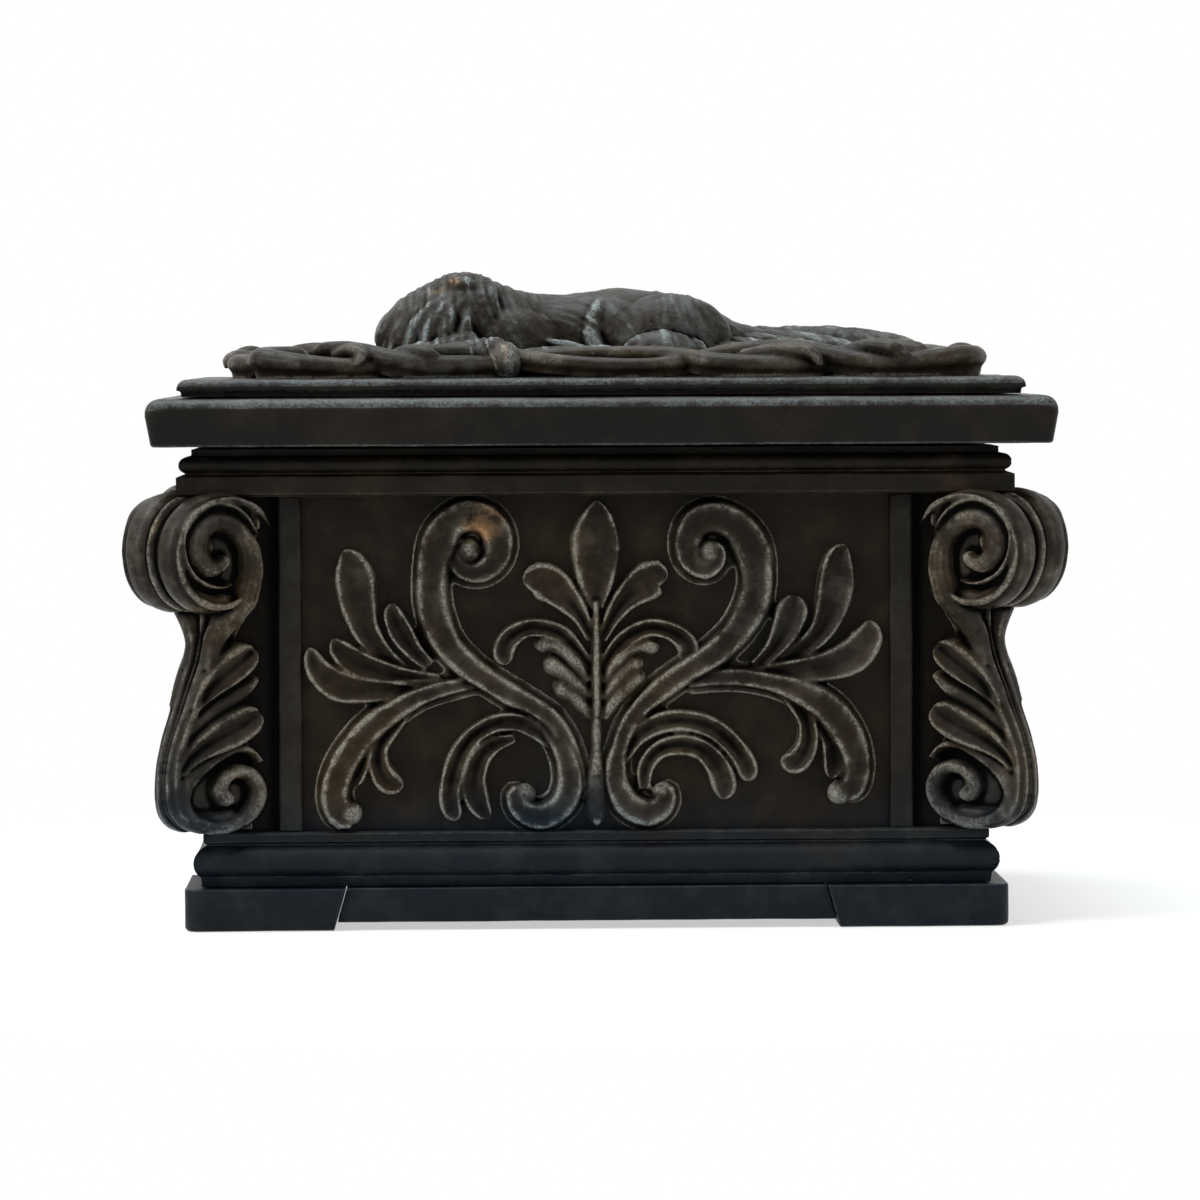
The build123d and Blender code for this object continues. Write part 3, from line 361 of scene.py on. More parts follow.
# %% The eight finishes
moulded_resin = cast_finish("moulded_resin", wax=0.17, stain=0.22, dark=0.50, sheen=0.12)
lid_resin = cast_finish(
    "lid_resin", wax=0.36, stain=0.60, dark=0.36, sheen=0.11, gloss=0.34, grey=0.03, warmth=0.1,
)
# The neck is a little darker than the other mouldings: painted shade from the overhanging lid.
neck_resin = cast_finish(
    "neck_resin", wax=0.20, stain=0.60, dark=0.48, sheen=0.09, grey=0.05, warmth=0.9,
)
# The field gets painted shade on the wall strips behind the consoles.
field_resin = cast_finish(
    "field_resin", wax=0.13, stain=0.30, dark=0.86, sheen=0.06, grey=0.03, warmth=0.9, corner_shade=True,
)
carved_resin = cast_finish(
    "carved_resin", wax=0.98, stain=0.80, dark=0.96, sheen=0.07, gloss=0.36, grey=0.14, warmth=0.5,
)
console_resin = cast_finish(
    "console_resin", wax=0.70, stain=0.80, dark=0.84, sheen=0.09, gloss=0.34, grey=0.09, warmth=0.6,
)
vine_resin = cast_finish(
    "vine_resin", wax=0.55, stain=0.80, dark=0.80, sheen=0.09, gloss=0.34, grey=0.08, warmth=0.4,
)
figure_resin = cast_finish(
    "figure_resin", wax=1.25, stain=0.15, sheen=0.09, gloss=0.38, grey=0.19, warmth=0.10,
)
print("finishes:", [made.name for made in bpy.data.materials if made.name.endswith("_resin")])

# %% [markdown]
# ## The felt lining
# A thin black felt covers the floor, the walls and the underside of the lid. Felt is matted
# fibre, so its finish is a soft cloudy grey-black with a fine hairy bump and a little sheen.

# %% Felt
FELT_DARK = colour(0.006, 0.006, 0.007)
FELT_LIGHT = colour(0.030, 0.029, 0.031)
felt_finish = Finish(bpy.data.materials.new("felt_finish"))
felt_fibre = felt_finish.grain(3800, 4, 0.7)
felt_cloud = felt_finish.grain(240, 3)
felt_colour = felt_finish.mix(felt_fibre * 0.6 + felt_cloud * 0.4, FELT_DARK, FELT_LIGHT)
felt_bump = felt_finish.node("ShaderNodeBump", {}, {
    "Strength": 0.6, "Distance": 0.0002, "Height": felt_fibre,
})
felt_finish.node("ShaderNodeOutputMaterial", {}, {
    "Surface": felt_finish.node("ShaderNodeBsdfPrincipled", {}, {
        "Base Color": felt_colour, "Roughness": 0.95, "Normal": felt_bump, "Sheen Weight": 0.3,
        "Specular IOR Level": 0.2,
    }),
})
for name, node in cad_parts.items():
    node.data.materials.clear()
    plain = field_resin if name.startswith("wall_") else moulded_resin
    node.data.materials.append(felt_finish.owner if "felt" in name else plain)
print("felt on", [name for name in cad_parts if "felt" in name])

# %% [markdown]
# ## Sweeping a drawn section along a line
# Leaves, scrolls, reeds, strands and limbs are all the same kind of thing: a section that
# travels along a line and grows or shrinks on its way. The section is a closed loop of a few
# vertices. `extrude_edge_only` pulls a new loop out of the last one and a matrix carries it to
# the next station, which is how a sweep is done by hand in the editor.


# %% Smooth stations between drawn ones
def curve_between(a, b, c, d, t):
    """The smooth curve at the share t of the way from b to c, with a before them and d after."""
    slope, bend, twist = c - a, 2 * a - 5 * b + 4 * c - d, 3 * b - a - 3 * c + d
    return 0.5 * (2 * b + slope * t + bend * t * t + twist * t ** 3)


def smooth_line(points, spacing):
    """Points at even steps on a smooth line through the drawn ones; any further numbers go along."""
    line = []
    for i in range(len(points) - 1):
        before, after = points[max(i - 1, 0)], points[min(i + 2, len(points) - 1)]
        start, end = points[i], points[i + 1]
        steps = max(2, round(math.dist(start[:3], end[:3]) / spacing))
        for k in range(steps):
            line.append([curve_between(*four, k / steps) for four in zip(before, start, end, after)])
    line.append(list(points[-1]))
    return line


def tip_share(left, half, least):
    """How much of its size a band keeps with this length left; its last half width is rounded off."""
    left_over = min(1.0, left / half)
    return math.sqrt(max(least, 1 - (1 - left_over) ** 2))


def blunt_share(i, last, least, steps):
    """How much of its size a strand has at station i, as both its ends are blunted over some steps."""
    return min(1.0, least + i / steps, least + (last - i) / steps)


print("stations on a line of 10 mm:", len(smooth_line([(0, 0, 0), (10, 0, 0)], 0.7)))


# %% The sweep itself
def swept(section, line, up):
    """A closed bmesh: the section carried along a line of (x, y, z, half width, height).

    The section is drawn as (across, out) pairs, up is the direction that out means.
    """
    places = [Vector(station[:3]) for station in line]
    moves = []
    for i, station in enumerate(line):
        along = (places[min(i + 1, len(line) - 1)] - places[max(i - 1, 0)]).normalized()
        across = along.cross(up).normalized()
        out = across.cross(along).normalized()
        move = Matrix((across * station[3], out * station[4], along)).transposed().to_4x4()
        move.translation = places[i]
        moves.append(move)
    bm = bmesh.new()
    ring = [bm.verts.new(moves[0] @ Vector((across, out, 0))) for across, out in section]
    edges = [bm.edges.new((ring[i - 1], ring[i])) for i in range(len(ring))]
    first_edges = edges
    for last_move, move in zip(moves, moves[1:]):
        made = bmesh.ops.extrude_edge_only(bm, edges=edges)["geom"]
        new_verts = [piece for piece in made if isinstance(piece, bmesh.types.BMVert)]
        new_edges = [piece for piece in made if isinstance(piece, bmesh.types.BMEdge)]
        new_ring = set(new_verts)
        edges = [edge for edge in new_edges if new_ring.issuperset(edge.verts)]
        bmesh.ops.transform(bm, matrix=move @ last_move.inverted(), verts=new_verts)
    bmesh.ops.edgeloop_fill(bm, edges=first_edges)
    bmesh.ops.edgeloop_fill(bm, edges=edges)
    bmesh.ops.recalc_face_normals(bm, faces=bm.faces)
    return bm


def add_to(heap, bm):
    """Adds a finished small bmesh to a heap of forms and frees it."""
    carrier = bpy.data.meshes.new("carrier")
    bm.to_mesh(carrier)
    bm.free()
    heap.from_mesh(carrier)
    bpy.data.meshes.remove(carrier)


# %% [markdown]
# Each section is drawn as pairs of across and out. The leaf is a shallow dish between raised
# rims, the strap is softly hollow along its middle, the rib is round and the lobe dips on one
# side. The last two are full circles, a fine one for a trunk and a coarse one for reeds.

# %% The sections
LEAF = [
    (-1.0, -0.5), (-1.0, 0.40), (-0.95, 0.80), (-0.84, 0.97), (-0.70, 0.94), (-0.52, 0.78),
    (-0.28, 0.66), (0.0, 0.62), (0.28, 0.66), (0.52, 0.78), (0.70, 0.94), (0.84, 0.97), (0.95, 0.80),
    (1.0, 0.40), (1.0, -0.5),
]
STRAP = [
    (-1.0, -0.5), (-1.0, 0.30), (-0.93, 0.66), (-0.80, 0.88), (-0.62, 0.93), (-0.36, 0.88), (0.0, 0.86),
    (0.34, 0.92), (0.60, 1.0), (0.80, 0.92), (0.93, 0.66), (1.0, 0.30), (1.0, -0.5),
]
RIB = [
    (-1.0, -0.5), (-1.0, 0.2), (-0.86, 0.62), (-0.5, 0.92), (0.0, 1.0), (0.5, 0.92), (0.86, 0.62),
    (1.0, 0.2), (1.0, -0.5),
]
LOBE = [
    (-1.0, -0.5), (-1.0, 0.30), (-0.92, 0.70), (-0.76, 0.90), (-0.52, 0.86), (-0.22, 0.68),
    (0.10, 0.62), (0.40, 0.78), (0.64, 1.0), (0.82, 0.96), (0.95, 0.66), (1.0, 0.30), (1.0, -0.5),
]


def circle(step):
    """A circle with a corner at every so many degrees."""
    angles = [math.radians(angle) for angle in range(0, 360, step)]
    return [(math.cos(angle), math.sin(angle)) for angle in angles]


ROUND = circle(10)
REED = circle(30)
print("corners of the sections:", [len(drawn) for drawn in (LEAF, STRAP, RIB, LOBE, ROUND, REED)])

# %% [markdown]
# ## From a heap of forms to one cast skin
# A carver's forms run into each other. A voxel remesh melts the heap into one closed skin, as
# a mould does, and a little smoothing takes off the steps. The skin then keeps two values at
# each vertex, how far it stands out as a ridge and how deep it lies in a hollow, which the
# finish reads to place the wax and the painted shade.

# %% Melting and trimming
UP = Vector((0, 0, 1))
# The size of a voxel in millimetres, and how strongly the ridges of a piece count.
VOXELS = {"field": 0.27, "console": 0.275, "beast": 0.352, "vine": 0.30}
RIDGE_STRENGTHS = {"field": 7000, "console": 9000, "beast": 5500, "vine": 5500}


def melted(heap, voxel, smoothings):
    """The heap as one skin of the given voxel size in metres."""
    mesh = bpy.data.meshes.new("heap")
    heap.to_mesh(mesh)
    heap.free()
    holder = bpy.data.objects.new("heap", mesh)
    bpy.context.scene.collection.objects.link(holder)
    remesh = holder.modifiers.new("melt", "REMESH")
    remesh.mode = "VOXEL"
    remesh.voxel_size = voxel
    seen = bpy.context.evaluated_depsgraph_get()
    skin_mesh = bpy.data.meshes.new_from_object(holder.evaluated_get(seen))
    bpy.data.objects.remove(holder)
    bpy.data.meshes.remove(mesh)
    skin = bmesh.new()
    skin.from_mesh(skin_mesh)
    bpy.data.meshes.remove(skin_mesh)
    for _ in range(smoothings):
        bmesh.ops.smooth_vert(
            skin, verts=skin.verts, factor=0.5, use_axis_x=True, use_axis_y=True, use_axis_z=True,
        )
    return skin


# %% Cutting and trimming
def cut_across(bm, point, normal, **more):
    """Cuts everything at a plane and returns what lies on the cut."""
    everything = bm.verts[:] + bm.edges[:] + bm.faces[:]
    return bmesh.ops.bisect_plane(
        bm, geom=everything, dist=0.001 * MM, plane_co=point, plane_no=normal, **more,
    )["geom_cut"]


def trim(skin, point, keep_towards):
    """Cuts the skin off at a plane and closes the cut."""
    cut = cut_across(skin, point, keep_towards, clear_inner=True)
    rim = [piece for piece in cut if isinstance(piece, bmesh.types.BMEdge)]
    bmesh.ops.triangle_fill(skin, use_beauty=True, use_dissolve=False, edges=rim, normal=-keep_towards)


# %% [markdown]
# Rubbed wax finds whatever stands higher than what lies round it. Averaging every vertex with
# its neighbours a few times gives the surface without its small forms, and the distance from
# there to the real place, along the normal, says how far a form stands out. A second and wider
# average finds the broad forms too.

# %% Ridges and hollows
# A vertex is compared with its near and its wider neighbours: rounds of averaging and their share.
ROUNDS = {3: 1.0, 14: 0.45}


def read_rows(items, name, columns, kind=np.float64):
    """One value of every vertex or edge, as the rows of an array."""
    values = np.empty(len(items) * columns, dtype=kind)
    items.foreach_get(name, values)
    return values.reshape(-1, columns)


def mark_ridges(mesh, strength):
    """Keeps at each vertex how far it stands out of, or lies below, its neighbours."""
    count = len(mesh.vertices)
    places = read_rows(mesh.vertices, "co", 3)
    normals = read_rows(mesh.vertices, "normal", 3)
    here, there = read_rows(mesh.edges, "vertices", 2, np.int64).T
    both, others = np.concatenate((here, there)), np.concatenate((there, here))
    neighbours = np.maximum(np.bincount(both, minlength=count), 1)

    def averaged(values):
        sums = [np.bincount(both, weights=column[others], minlength=count) for column in values.T]
        return np.stack([column / neighbours for column in sums], axis=1)

    blurred = places
    standing = np.zeros(count)
    for turn in range(1, max(ROUNDS) + 1):
        blurred = averaged(blurred)
        if turn in ROUNDS:
            standing += ((places - blurred) * normals).sum(axis=1) * strength * ROUNDS[turn]
    for _ in range(2):
        standing = 0.5 * standing + 0.5 * averaged(standing[:, None])[:, 0]
    for name, values in (("ridge", standing), ("hollow", -2.0 * standing)):
        layer = mesh.attributes.new(name, "FLOAT", "POINT")
        layer.data.foreach_set("value", np.clip(values, 0, 3).astype(np.float32))
    return np.percentile(standing, (5, 50, 90, 98)).round(2)


# %% [markdown]
# A finished piece has its place in its mesh, so its object stays at the origin. It rides on the
# box or on the lid, takes the place of its CAD nodes and says what it is made of.

# %% Placing a finished piece
def finished(name, bm, material, body, nodes, smooth_angle=180, ridge_strength=0):
    """Turns a bmesh into a piece of the casket that rides on a body and stands for its nodes."""
    mesh = bpy.data.meshes.new(name)
    bm.to_mesh(mesh)
    bm.free()
    mesh.materials.append(material)
    mesh.shade_smooth()
    if smooth_angle < 180:
        mesh.set_sharp_from_angle(angle=math.radians(smooth_angle))
    piece = bpy.data.objects.new(name, mesh)
    bpy.context.scene.collection.objects.link(piece)
    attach(piece, body)
    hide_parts(*nodes)
    print(f"{name}: {sum(len(face.vertices) - 2 for face in mesh.polygons)} triangles")
    if ridge_strength:
        print("ridges", mark_ridges(mesh, ridge_strength))


# %% [markdown]
# ## The hand-finished mouldings
# Slab, step, neck, base, feet, aprons and fillets have the right shape in the frame, but cast
# resin has no sharp arris and no dead straight line. Each is copied, its doubles are merged, its
# edges get a small bevel, its flats are cut into short lengths so that they can bend, and the
# whole surface wanders by up to a fifth of a millimetre. The new vertices inside a bevel are
# the ridges.


# %% Easing the edges
def merged_copy(nodes):
    """A bmesh of CAD nodes with doubles merged and without the mitres between joined lengths."""
    bm = bmesh.new()
    for node in nodes:
        bm.from_mesh(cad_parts[node].data)
    if len(nodes) > 1:
        upright = [face for face in bm.faces if abs(face.normal.z) < 0.02]
        mitres = [face for face in upright if abs(abs(face.normal.x) - abs(face.normal.y)) < 0.02]
        bmesh.ops.delete(bm, geom=mitres, context="FACES")
    bmesh.ops.remove_doubles(bm, verts=bm.verts, dist=0.01 * MM)
    bmesh.ops.dissolve_limit(bm, angle_limit=math.radians(2), verts=bm.verts, edges=bm.edges)
    return bm


def ease_edges(bm, edge):
    """Bevels the sharp edges and marks what lies inside a bevel as a ridge or a hollow."""
    sharp = [e for e in bm.edges if e.is_manifold and e.calc_face_angle(0) > math.radians(28)]
    eased_faces = set(bmesh.ops.bevel(
        bm, geom=sharp, offset=edge, offset_type="OFFSET", affect="EDGES", segments=3, profile=0.5,
        material=-1, clamp_overlap=True,
    )["faces"])
    ridge = bm.verts.layers.float.new("ridge")
    hollow = bm.verts.layers.float.new("hollow")
    for vert in bm.verts:
        if vert.link_faces and all(face in eased_faces for face in vert.link_faces):
            bends = [e.calc_face_angle_signed(0) for e in vert.link_edges if e.is_manifold]
            turn = max(bends, key=abs) if bends else 0
            if turn > 0.1:
                vert[ridge] = 1
            elif turn < -0.1:
                vert[hollow] = 1


# %% Letting the flats bend
def wander(place, reach):
    """A slow and a quick wobble of the surface, between 0 and 1 times the reach."""
    slow = noise.noise(place * 70)
    quick = noise.noise(place * 330 + Vector((7, 3, 1)))
    return reach * (0.5 + 0.38 * slow + 0.22 * quick)


def cut_short(bm, spacing):
    """Cuts the mesh across at even steps along all three axes."""
    low = [min(v.co[axis] for v in bm.verts) for axis in range(3)]
    high = [max(v.co[axis] for v in bm.verts) for axis in range(3)]
    for axis in range(3):
        normal = Vector([float(axis == k) for k in range(3)])
        cuts = int((high[axis] - low[axis]) / spacing)
        for k in range(1, cuts + 1):
            place = normal * (low[axis] + k * (high[axis] - low[axis]) / (cuts + 1))
            cut_across(bm, place, normal)


def softened(nodes, edge, spacing, reach, round_wear_and_highlight=0.0):
    """A copy of CAD nodes with eased edges, a wandering surface, and up-facing round edges marked for wax,
    as wear and painted highlight.
    """
    bm = merged_copy(nodes)
    ease_edges(bm, edge)
    cut_short(bm, spacing)
    bm.normal_update()
    ridge = bm.verts.layers.float["ridge"]
    for vert in bm.verts:
        # Up-facing rounds count as ridges, so their wax is rubbed wear and a painted highlight.
        if 0.25 < vert.normal.z < 0.97:
            vert[ridge] = max(vert[ridge], round_wear_and_highlight)
    shifts = [vert.normal * -wander(vert.co, reach) for vert in bm.verts]
    for vert, shift in zip(bm.verts, shifts):
        vert.co += shift
    return bm


# %% [markdown]
# The lid is what hands take hold of, so its slab has the roundest edges, and slab and step are
# rubbed; the wax on their up-facing rounds is also a painted highlight. The other mouldings only
# lost their sharpness in the mould.

# %% The softened pieces
SIDES = ("front", "back", "left", "right")
STONE, BRONZED = "slate_composition", "bronzed_composition"
BASE_NODES = [f"base_moulding_{side}" for side in SIDES]
NECK_NODES = [f"neck_moulding_{side}" for side in SIDES]
# Each piece: name, nodes, body, ease of its edges, wax on its up-facing rounds as wear and painted
# highlight, finish and slot.
MOULDINGS = [
    ("cast_lid_slab", ["lid_slab"], "lid", 0.55, 0.90, lid_resin, STONE),
    ("cast_lid_step", ["lid_step"], "lid", 0.30, 0.85, lid_resin, STONE),
    ("cast_base_moulding", BASE_NODES, "box", 0.30, 0.0, moulded_resin, STONE),
    ("cast_neck_moulding", NECK_NODES, "box", 0.28, 0.0, neck_resin, BRONZED),
]
for name, nodes, body, edge, round_wear_and_highlight, resin, slot in MOULDINGS:
    bm = softened(nodes, edge * MM, 3.5 * MM, 0.22 * MM, round_wear_and_highlight)
    finished(name, bm, resin, body, nodes, 40)
for node in [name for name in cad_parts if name.startswith(("foot_", "apron_", "stiles_"))]:
    bm = softened([node], 0.30 * MM, 3.0 * MM, 0.16 * MM)
    finished("cast_" + node, bm, moulded_resin, "box", [node], 40)

# %% [markdown]
# ## The carving on the four fields
# Each field carries the same ornament in relief: a spear on a stem in the middle with curled
# leaves beside it, a big scroll on each side that ends in an eye, sprays of long leaves and
# small C-scrolls below. A carver would draw the centre line of every leaf and then its width,
# so that is what is written here: across the field from its middle, height above the ground
# and half width, all in millimetres.

# %% The drawn lines of the middle
MIDDLE_LINES = {
    "petal_left": [
        (-0.8, 46.9, 0.5), (-2.3, 50.5, 1.0), (-4.2, 53.1, 1.6), (-7.2, 55.9, 2.3), (-9.8, 56.9, 2.1),
        (-11.9, 56.6, 1.3),
    ],
    "petal_right": [
        (1.0, 46.9, 0.5), (2.6, 50.5, 1.0), (5.0, 53.8, 1.6), (8.0, 56.2, 2.3), (10.2, 57.5, 2.0),
        (11.7, 57.0, 1.1),
    ],
    "spear": [
        (0.2, 52.0, 0.7), (0.0, 55.9, 2.1), (0.0, 60.0, 2.8), (0.0, 63.6, 2.9), (0.2, 67.3, 1.9),
        (0.2, 69.8, 0.5),
    ],
    "curl_left": [
        (-0.8, 42.4, 0.6), (-3.1, 45.3, 0.9), (-5.5, 47.8, 1.1), (-8.5, 48.9, 1.1), (-11.4, 48.9, 1.1),
        (-14.0, 47.4, 1.3), (-15.1, 45.0, 1.3), (-14.5, 43.0, 1.1),
    ],
    "second_left": [
        (-1.5, 40.1, 0.6), (-3.2, 43.0, 1.0), (-5.7, 45.6, 1.0), (-8.1, 46.5, 1.0), (-9.9, 45.6, 1.2),
    ],
    "third_left": [(-0.8, 37.2, 0.6), (-3.6, 40.1, 1.0), (-6.3, 42.4, 1.2), (-8.6, 43.4, 1.2)],
    "fourth_left": [(-0.7, 34.2, 0.6), (-2.8, 36.8, 1.0), (-5.0, 38.8, 1.2), (-7.0, 39.9, 1.2)],
    "curl_right": [
        (1.1, 42.4, 0.6), (2.8, 45.2, 0.9), (5.4, 47.6, 1.1), (8.6, 48.9, 1.1), (11.9, 48.4, 1.1),
        (14.3, 46.8, 1.3), (15.0, 45.0, 1.3), (13.8, 43.5, 1.1),
    ],
    "second_right": [
        (1.5, 39.8, 0.6), (3.2, 43.0, 1.0), (5.7, 45.5, 1.0), (8.3, 46.0, 1.0), (10.2, 45.3, 1.2),
    ],
    "third_right": [(1.3, 37.2, 0.6), (3.4, 40.3, 1.0), (5.7, 42.7, 1.2), (7.6, 43.7, 1.2)],
    "fourth_right": [(1.0, 34.2, 0.6), (3.2, 37.3, 1.0), (5.7, 40.1, 1.2), (7.8, 41.7, 1.2)],
    "stem": [(0.0, 24.9, 0.4), (0.0, 30.6, 0.6), (0.0, 37.2, 0.6), (0.0, 45.3, 0.6), (0.0, 53.5, 0.4)],
    "drop": [(0.0, 30.6, 0.5), (0.0, 26.6, 0.9), (0.0, 22.5, 1.6), (0.0, 18.9, 1.3), (0.0, 16.5, 0.3)],
}
print("lines of the middle:", len(MIDDLE_LINES))

# %% The drawn lines of the left half
LEFT_LINES = {
    "scroll": [
        (-2.0, 20.9, 0.6), (-3.2, 26.1, 0.9), (-4.9, 30.6, 1.1), (-7.3, 34.1, 1.2), (-10.6, 36.5, 1.2),
        (-14.1, 38.3, 1.5), (-17.7, 40.6, 1.5), (-21.0, 43.0, 1.7), (-23.9, 46.1, 1.8),
        (-25.8, 49.9, 2.0), (-26.7, 54.3, 2.0), (-26.5, 59.2, 2.0), (-25.5, 63.2, 2.3),
        (-23.6, 66.2, 2.0), (-20.5, 67.5, 2.0), (-17.4, 66.5, 1.9), (-15.8, 63.6, 1.9),
        (-16.2, 60.3, 1.7), (-18.7, 58.2, 1.4), (-21.6, 58.4, 1.1), (-23.1, 60.6, 0.9),
        (-22.3, 62.6, 0.8), (-20.6, 62.4, 0.8),
    ],
    "leaf_a": [
        (-31.2, 42.1, 0.8), (-34.6, 44.8, 1.2), (-37.4, 48.7, 1.7), (-38.7, 53.1, 2.2),
        (-39.2, 57.2, 2.4), (-40.1, 60.3, 1.7), (-41.0, 61.8, 0.8),
    ],
    "leaf_b": [
        (-27.1, 42.9, 0.8), (-29.6, 45.3, 1.1), (-31.7, 48.4, 1.5), (-33.0, 51.3, 1.2),
        (-33.3, 53.1, 0.8),
    ],
    "leaf_c": [
        (-25.5, 40.4, 0.8), (-31.2, 41.2, 1.1), (-36.1, 42.4, 1.5), (-39.8, 44.0, 1.7),
        (-42.1, 46.1, 1.2), (-42.7, 47.4, 0.6),
    ],
    "leaf_d": [
        (-23.9, 39.8, 0.7), (-30.4, 39.3, 1.1), (-36.9, 39.0, 1.5), (-41.8, 39.8, 2.0),
        (-45.0, 42.1, 1.6), (-46.3, 44.7, 1.0), (-46.6, 46.0, 0.5),
    ],
    "stem_out": [
        (-19.0, 40.4, 0.8), (-27.1, 38.6, 1.1), (-32.0, 36.3, 1.4), (-36.6, 33.1, 1.7),
        (-40.1, 29.0, 1.8), (-42.2, 24.9, 1.8), (-42.7, 21.2, 1.8), (-41.3, 18.4, 1.8),
        (-39.3, 18.9, 1.2),
    ],
    "leaf_e": [(-36.6, 32.6, 0.5), (-38.2, 29.3, 1.1), (-39.0, 26.1, 1.3), (-39.5, 23.3, 0.8)],
    "leaf_f": [
        (-30.1, 36.2, 0.5), (-33.1, 33.1, 1.0), (-35.3, 29.8, 1.1), (-35.4, 26.6, 1.3),
        (-34.0, 24.1, 1.5), (-31.5, 23.3, 1.0),
    ],
    "c_outer": [
        (-7.2, 29.8, 0.7), (-9.8, 32.1, 1.0), (-13.0, 33.6, 1.1), (-16.6, 33.4, 1.1),
        (-20.0, 31.5, 1.1), (-22.4, 28.2, 1.3), (-23.7, 24.1, 1.3), (-23.9, 20.4, 1.3),
        (-22.8, 17.6, 1.0),
    ],
    "c_inner": [
        (-13.3, 31.0, 0.5), (-16.6, 30.0, 1.0), (-18.9, 27.9, 1.3), (-20.0, 24.5, 1.5),
        (-19.5, 20.9, 1.5), (-17.7, 17.9, 0.8),
    ],
    "c_roll": [
        (-8.0, 32.6, 0.9), (-5.9, 29.8, 1.3), (-4.7, 26.6, 1.5), (-4.5, 23.0, 1.7), (-6.0, 19.9, 1.7),
        (-9.1, 18.3, 1.7), (-12.0, 19.2, 1.5), (-13.2, 21.5, 1.3), (-11.5, 22.7, 1.1),
    ],
}
print("lines of the left half:", len(LEFT_LINES))

# %% The drawn lines of the right half
RIGHT_LINES = {
    "scroll": [
        (2.9, 22.5, 0.6), (3.4, 27.4, 0.9), (4.7, 32.1, 1.1), (7.3, 36.0, 1.2), (11.1, 39.3, 1.5),
        (15.1, 42.1, 1.5), (19.2, 44.7, 1.7), (22.9, 48.2, 1.8), (25.5, 52.6, 2.0), (26.3, 57.2, 2.0),
        (25.5, 61.9, 2.3), (23.2, 65.4, 2.0), (19.5, 67.0, 2.0), (16.2, 65.9, 1.9), (14.8, 62.8, 1.7),
        (15.4, 59.7, 1.4), (17.9, 58.4, 1.3), (20.0, 59.7, 0.9), (20.0, 61.6, 0.8), (18.7, 62.3, 0.8),
    ],
    "leaf_a": [
        (29.7, 42.4, 0.8), (33.3, 45.0, 1.1), (36.6, 48.2, 1.5), (38.4, 52.2, 2.0), (39.2, 56.4, 2.2),
        (39.6, 60.0, 1.7), (40.6, 62.3, 0.8),
    ],
    "leaf_b": [
        (26.0, 42.4, 0.8), (28.6, 45.0, 1.1), (30.7, 48.2, 1.7), (32.0, 51.8, 2.0), (32.3, 54.1, 1.8),
    ],
    "leaf_c": [
        (24.1, 40.9, 0.8), (30.6, 41.7, 1.2), (37.1, 42.4, 1.8), (41.9, 44.2, 2.2), (44.4, 47.3, 1.8),
        (44.7, 49.9, 0.9),
    ],
    "stem_out": [
        (15.1, 40.1, 0.8), (22.4, 40.8, 1.1), (28.9, 39.8, 1.2), (33.8, 38.1, 1.7), (38.2, 35.2, 2.0),
        (41.1, 31.0, 2.0), (42.4, 26.6, 1.8), (41.8, 23.0, 1.7), (39.8, 21.0, 1.4),
    ],
    "leaf_e": [(36.6, 33.1, 0.5), (38.2, 29.8, 1.1), (38.7, 26.6, 1.3), (38.2, 24.1, 0.8)],
    "leaf_f": [
        (29.1, 39.1, 0.5), (32.3, 36.7, 1.0), (34.3, 33.3, 1.1), (34.3, 29.5, 1.3), (32.5, 26.9, 1.5),
        (30.1, 27.1, 1.1),
    ],
    "c_outer": [
        (3.7, 26.6, 0.7), (6.5, 31.0, 1.1), (10.6, 33.4, 1.3), (15.4, 33.6, 1.3), (19.5, 32.1, 1.3),
        (22.6, 29.2, 1.3), (24.5, 26.1, 1.3), (24.7, 23.6, 1.0),
    ],
    "c_inner": [
        (7.8, 22.5, 0.7), (8.0, 26.1, 1.0), (10.2, 28.9, 1.1), (13.8, 29.8, 1.3), (17.2, 28.9, 1.3),
        (19.7, 26.2, 1.5), (20.8, 23.0, 1.5), (20.6, 20.7, 1.0),
    ],
    "c_roll": [
        (3.7, 29.8, 0.9), (3.1, 26.6, 1.3), (3.4, 23.0, 1.5), (5.2, 19.9, 1.7), (8.3, 18.7, 1.7),
        (10.7, 19.9, 1.5), (11.2, 22.0, 1.3), (9.8, 23.0, 1.1),
    ],
}
# The balls at the hearts of the scrolls: across, height, radius.
LEFT_BALLS = [(-20.7, 61.6, 2.1), (-11.9, 21.7, 2.0), (-40.2, 18.9, 2.0)]
RIGHT_BALLS = [(18.5, 61.2, 2.1), (10.9, 21.9, 1.9), (39.6, 21.8, 2.0)]
print("lines of the right half:", len(RIGHT_LINES))

# %% [markdown]
# A leaf is not equally deep along its length: it rises quickly from its root, stands at its full
# height over its middle and dips towards its tip. The big scrolls are softly hollowed straps
# with a low ledge at their feet, which is what a mould leaves round a deep form.

# %% Carving one set of lines
CARVE_DEPTH = 3.3
STRAP_DEEPER, LEAF_SHALLOWER = 1.15, 0.95
LINE_SPREAD = 1.40
LEDGE_WIDER, LEDGE_DEPTH = 1.5, 1.0
BALL_SUNK = 1.4
DEEP_LINES = ("scroll", "c_roll", "stem_out")
ROUND_LINES = (
    "stem", "drop", "second_left", "third_left", "fourth_left", "second_right", "third_right",
    "fourth_right",
)
OUT_OF_WALL = Vector((0, -1, 0))


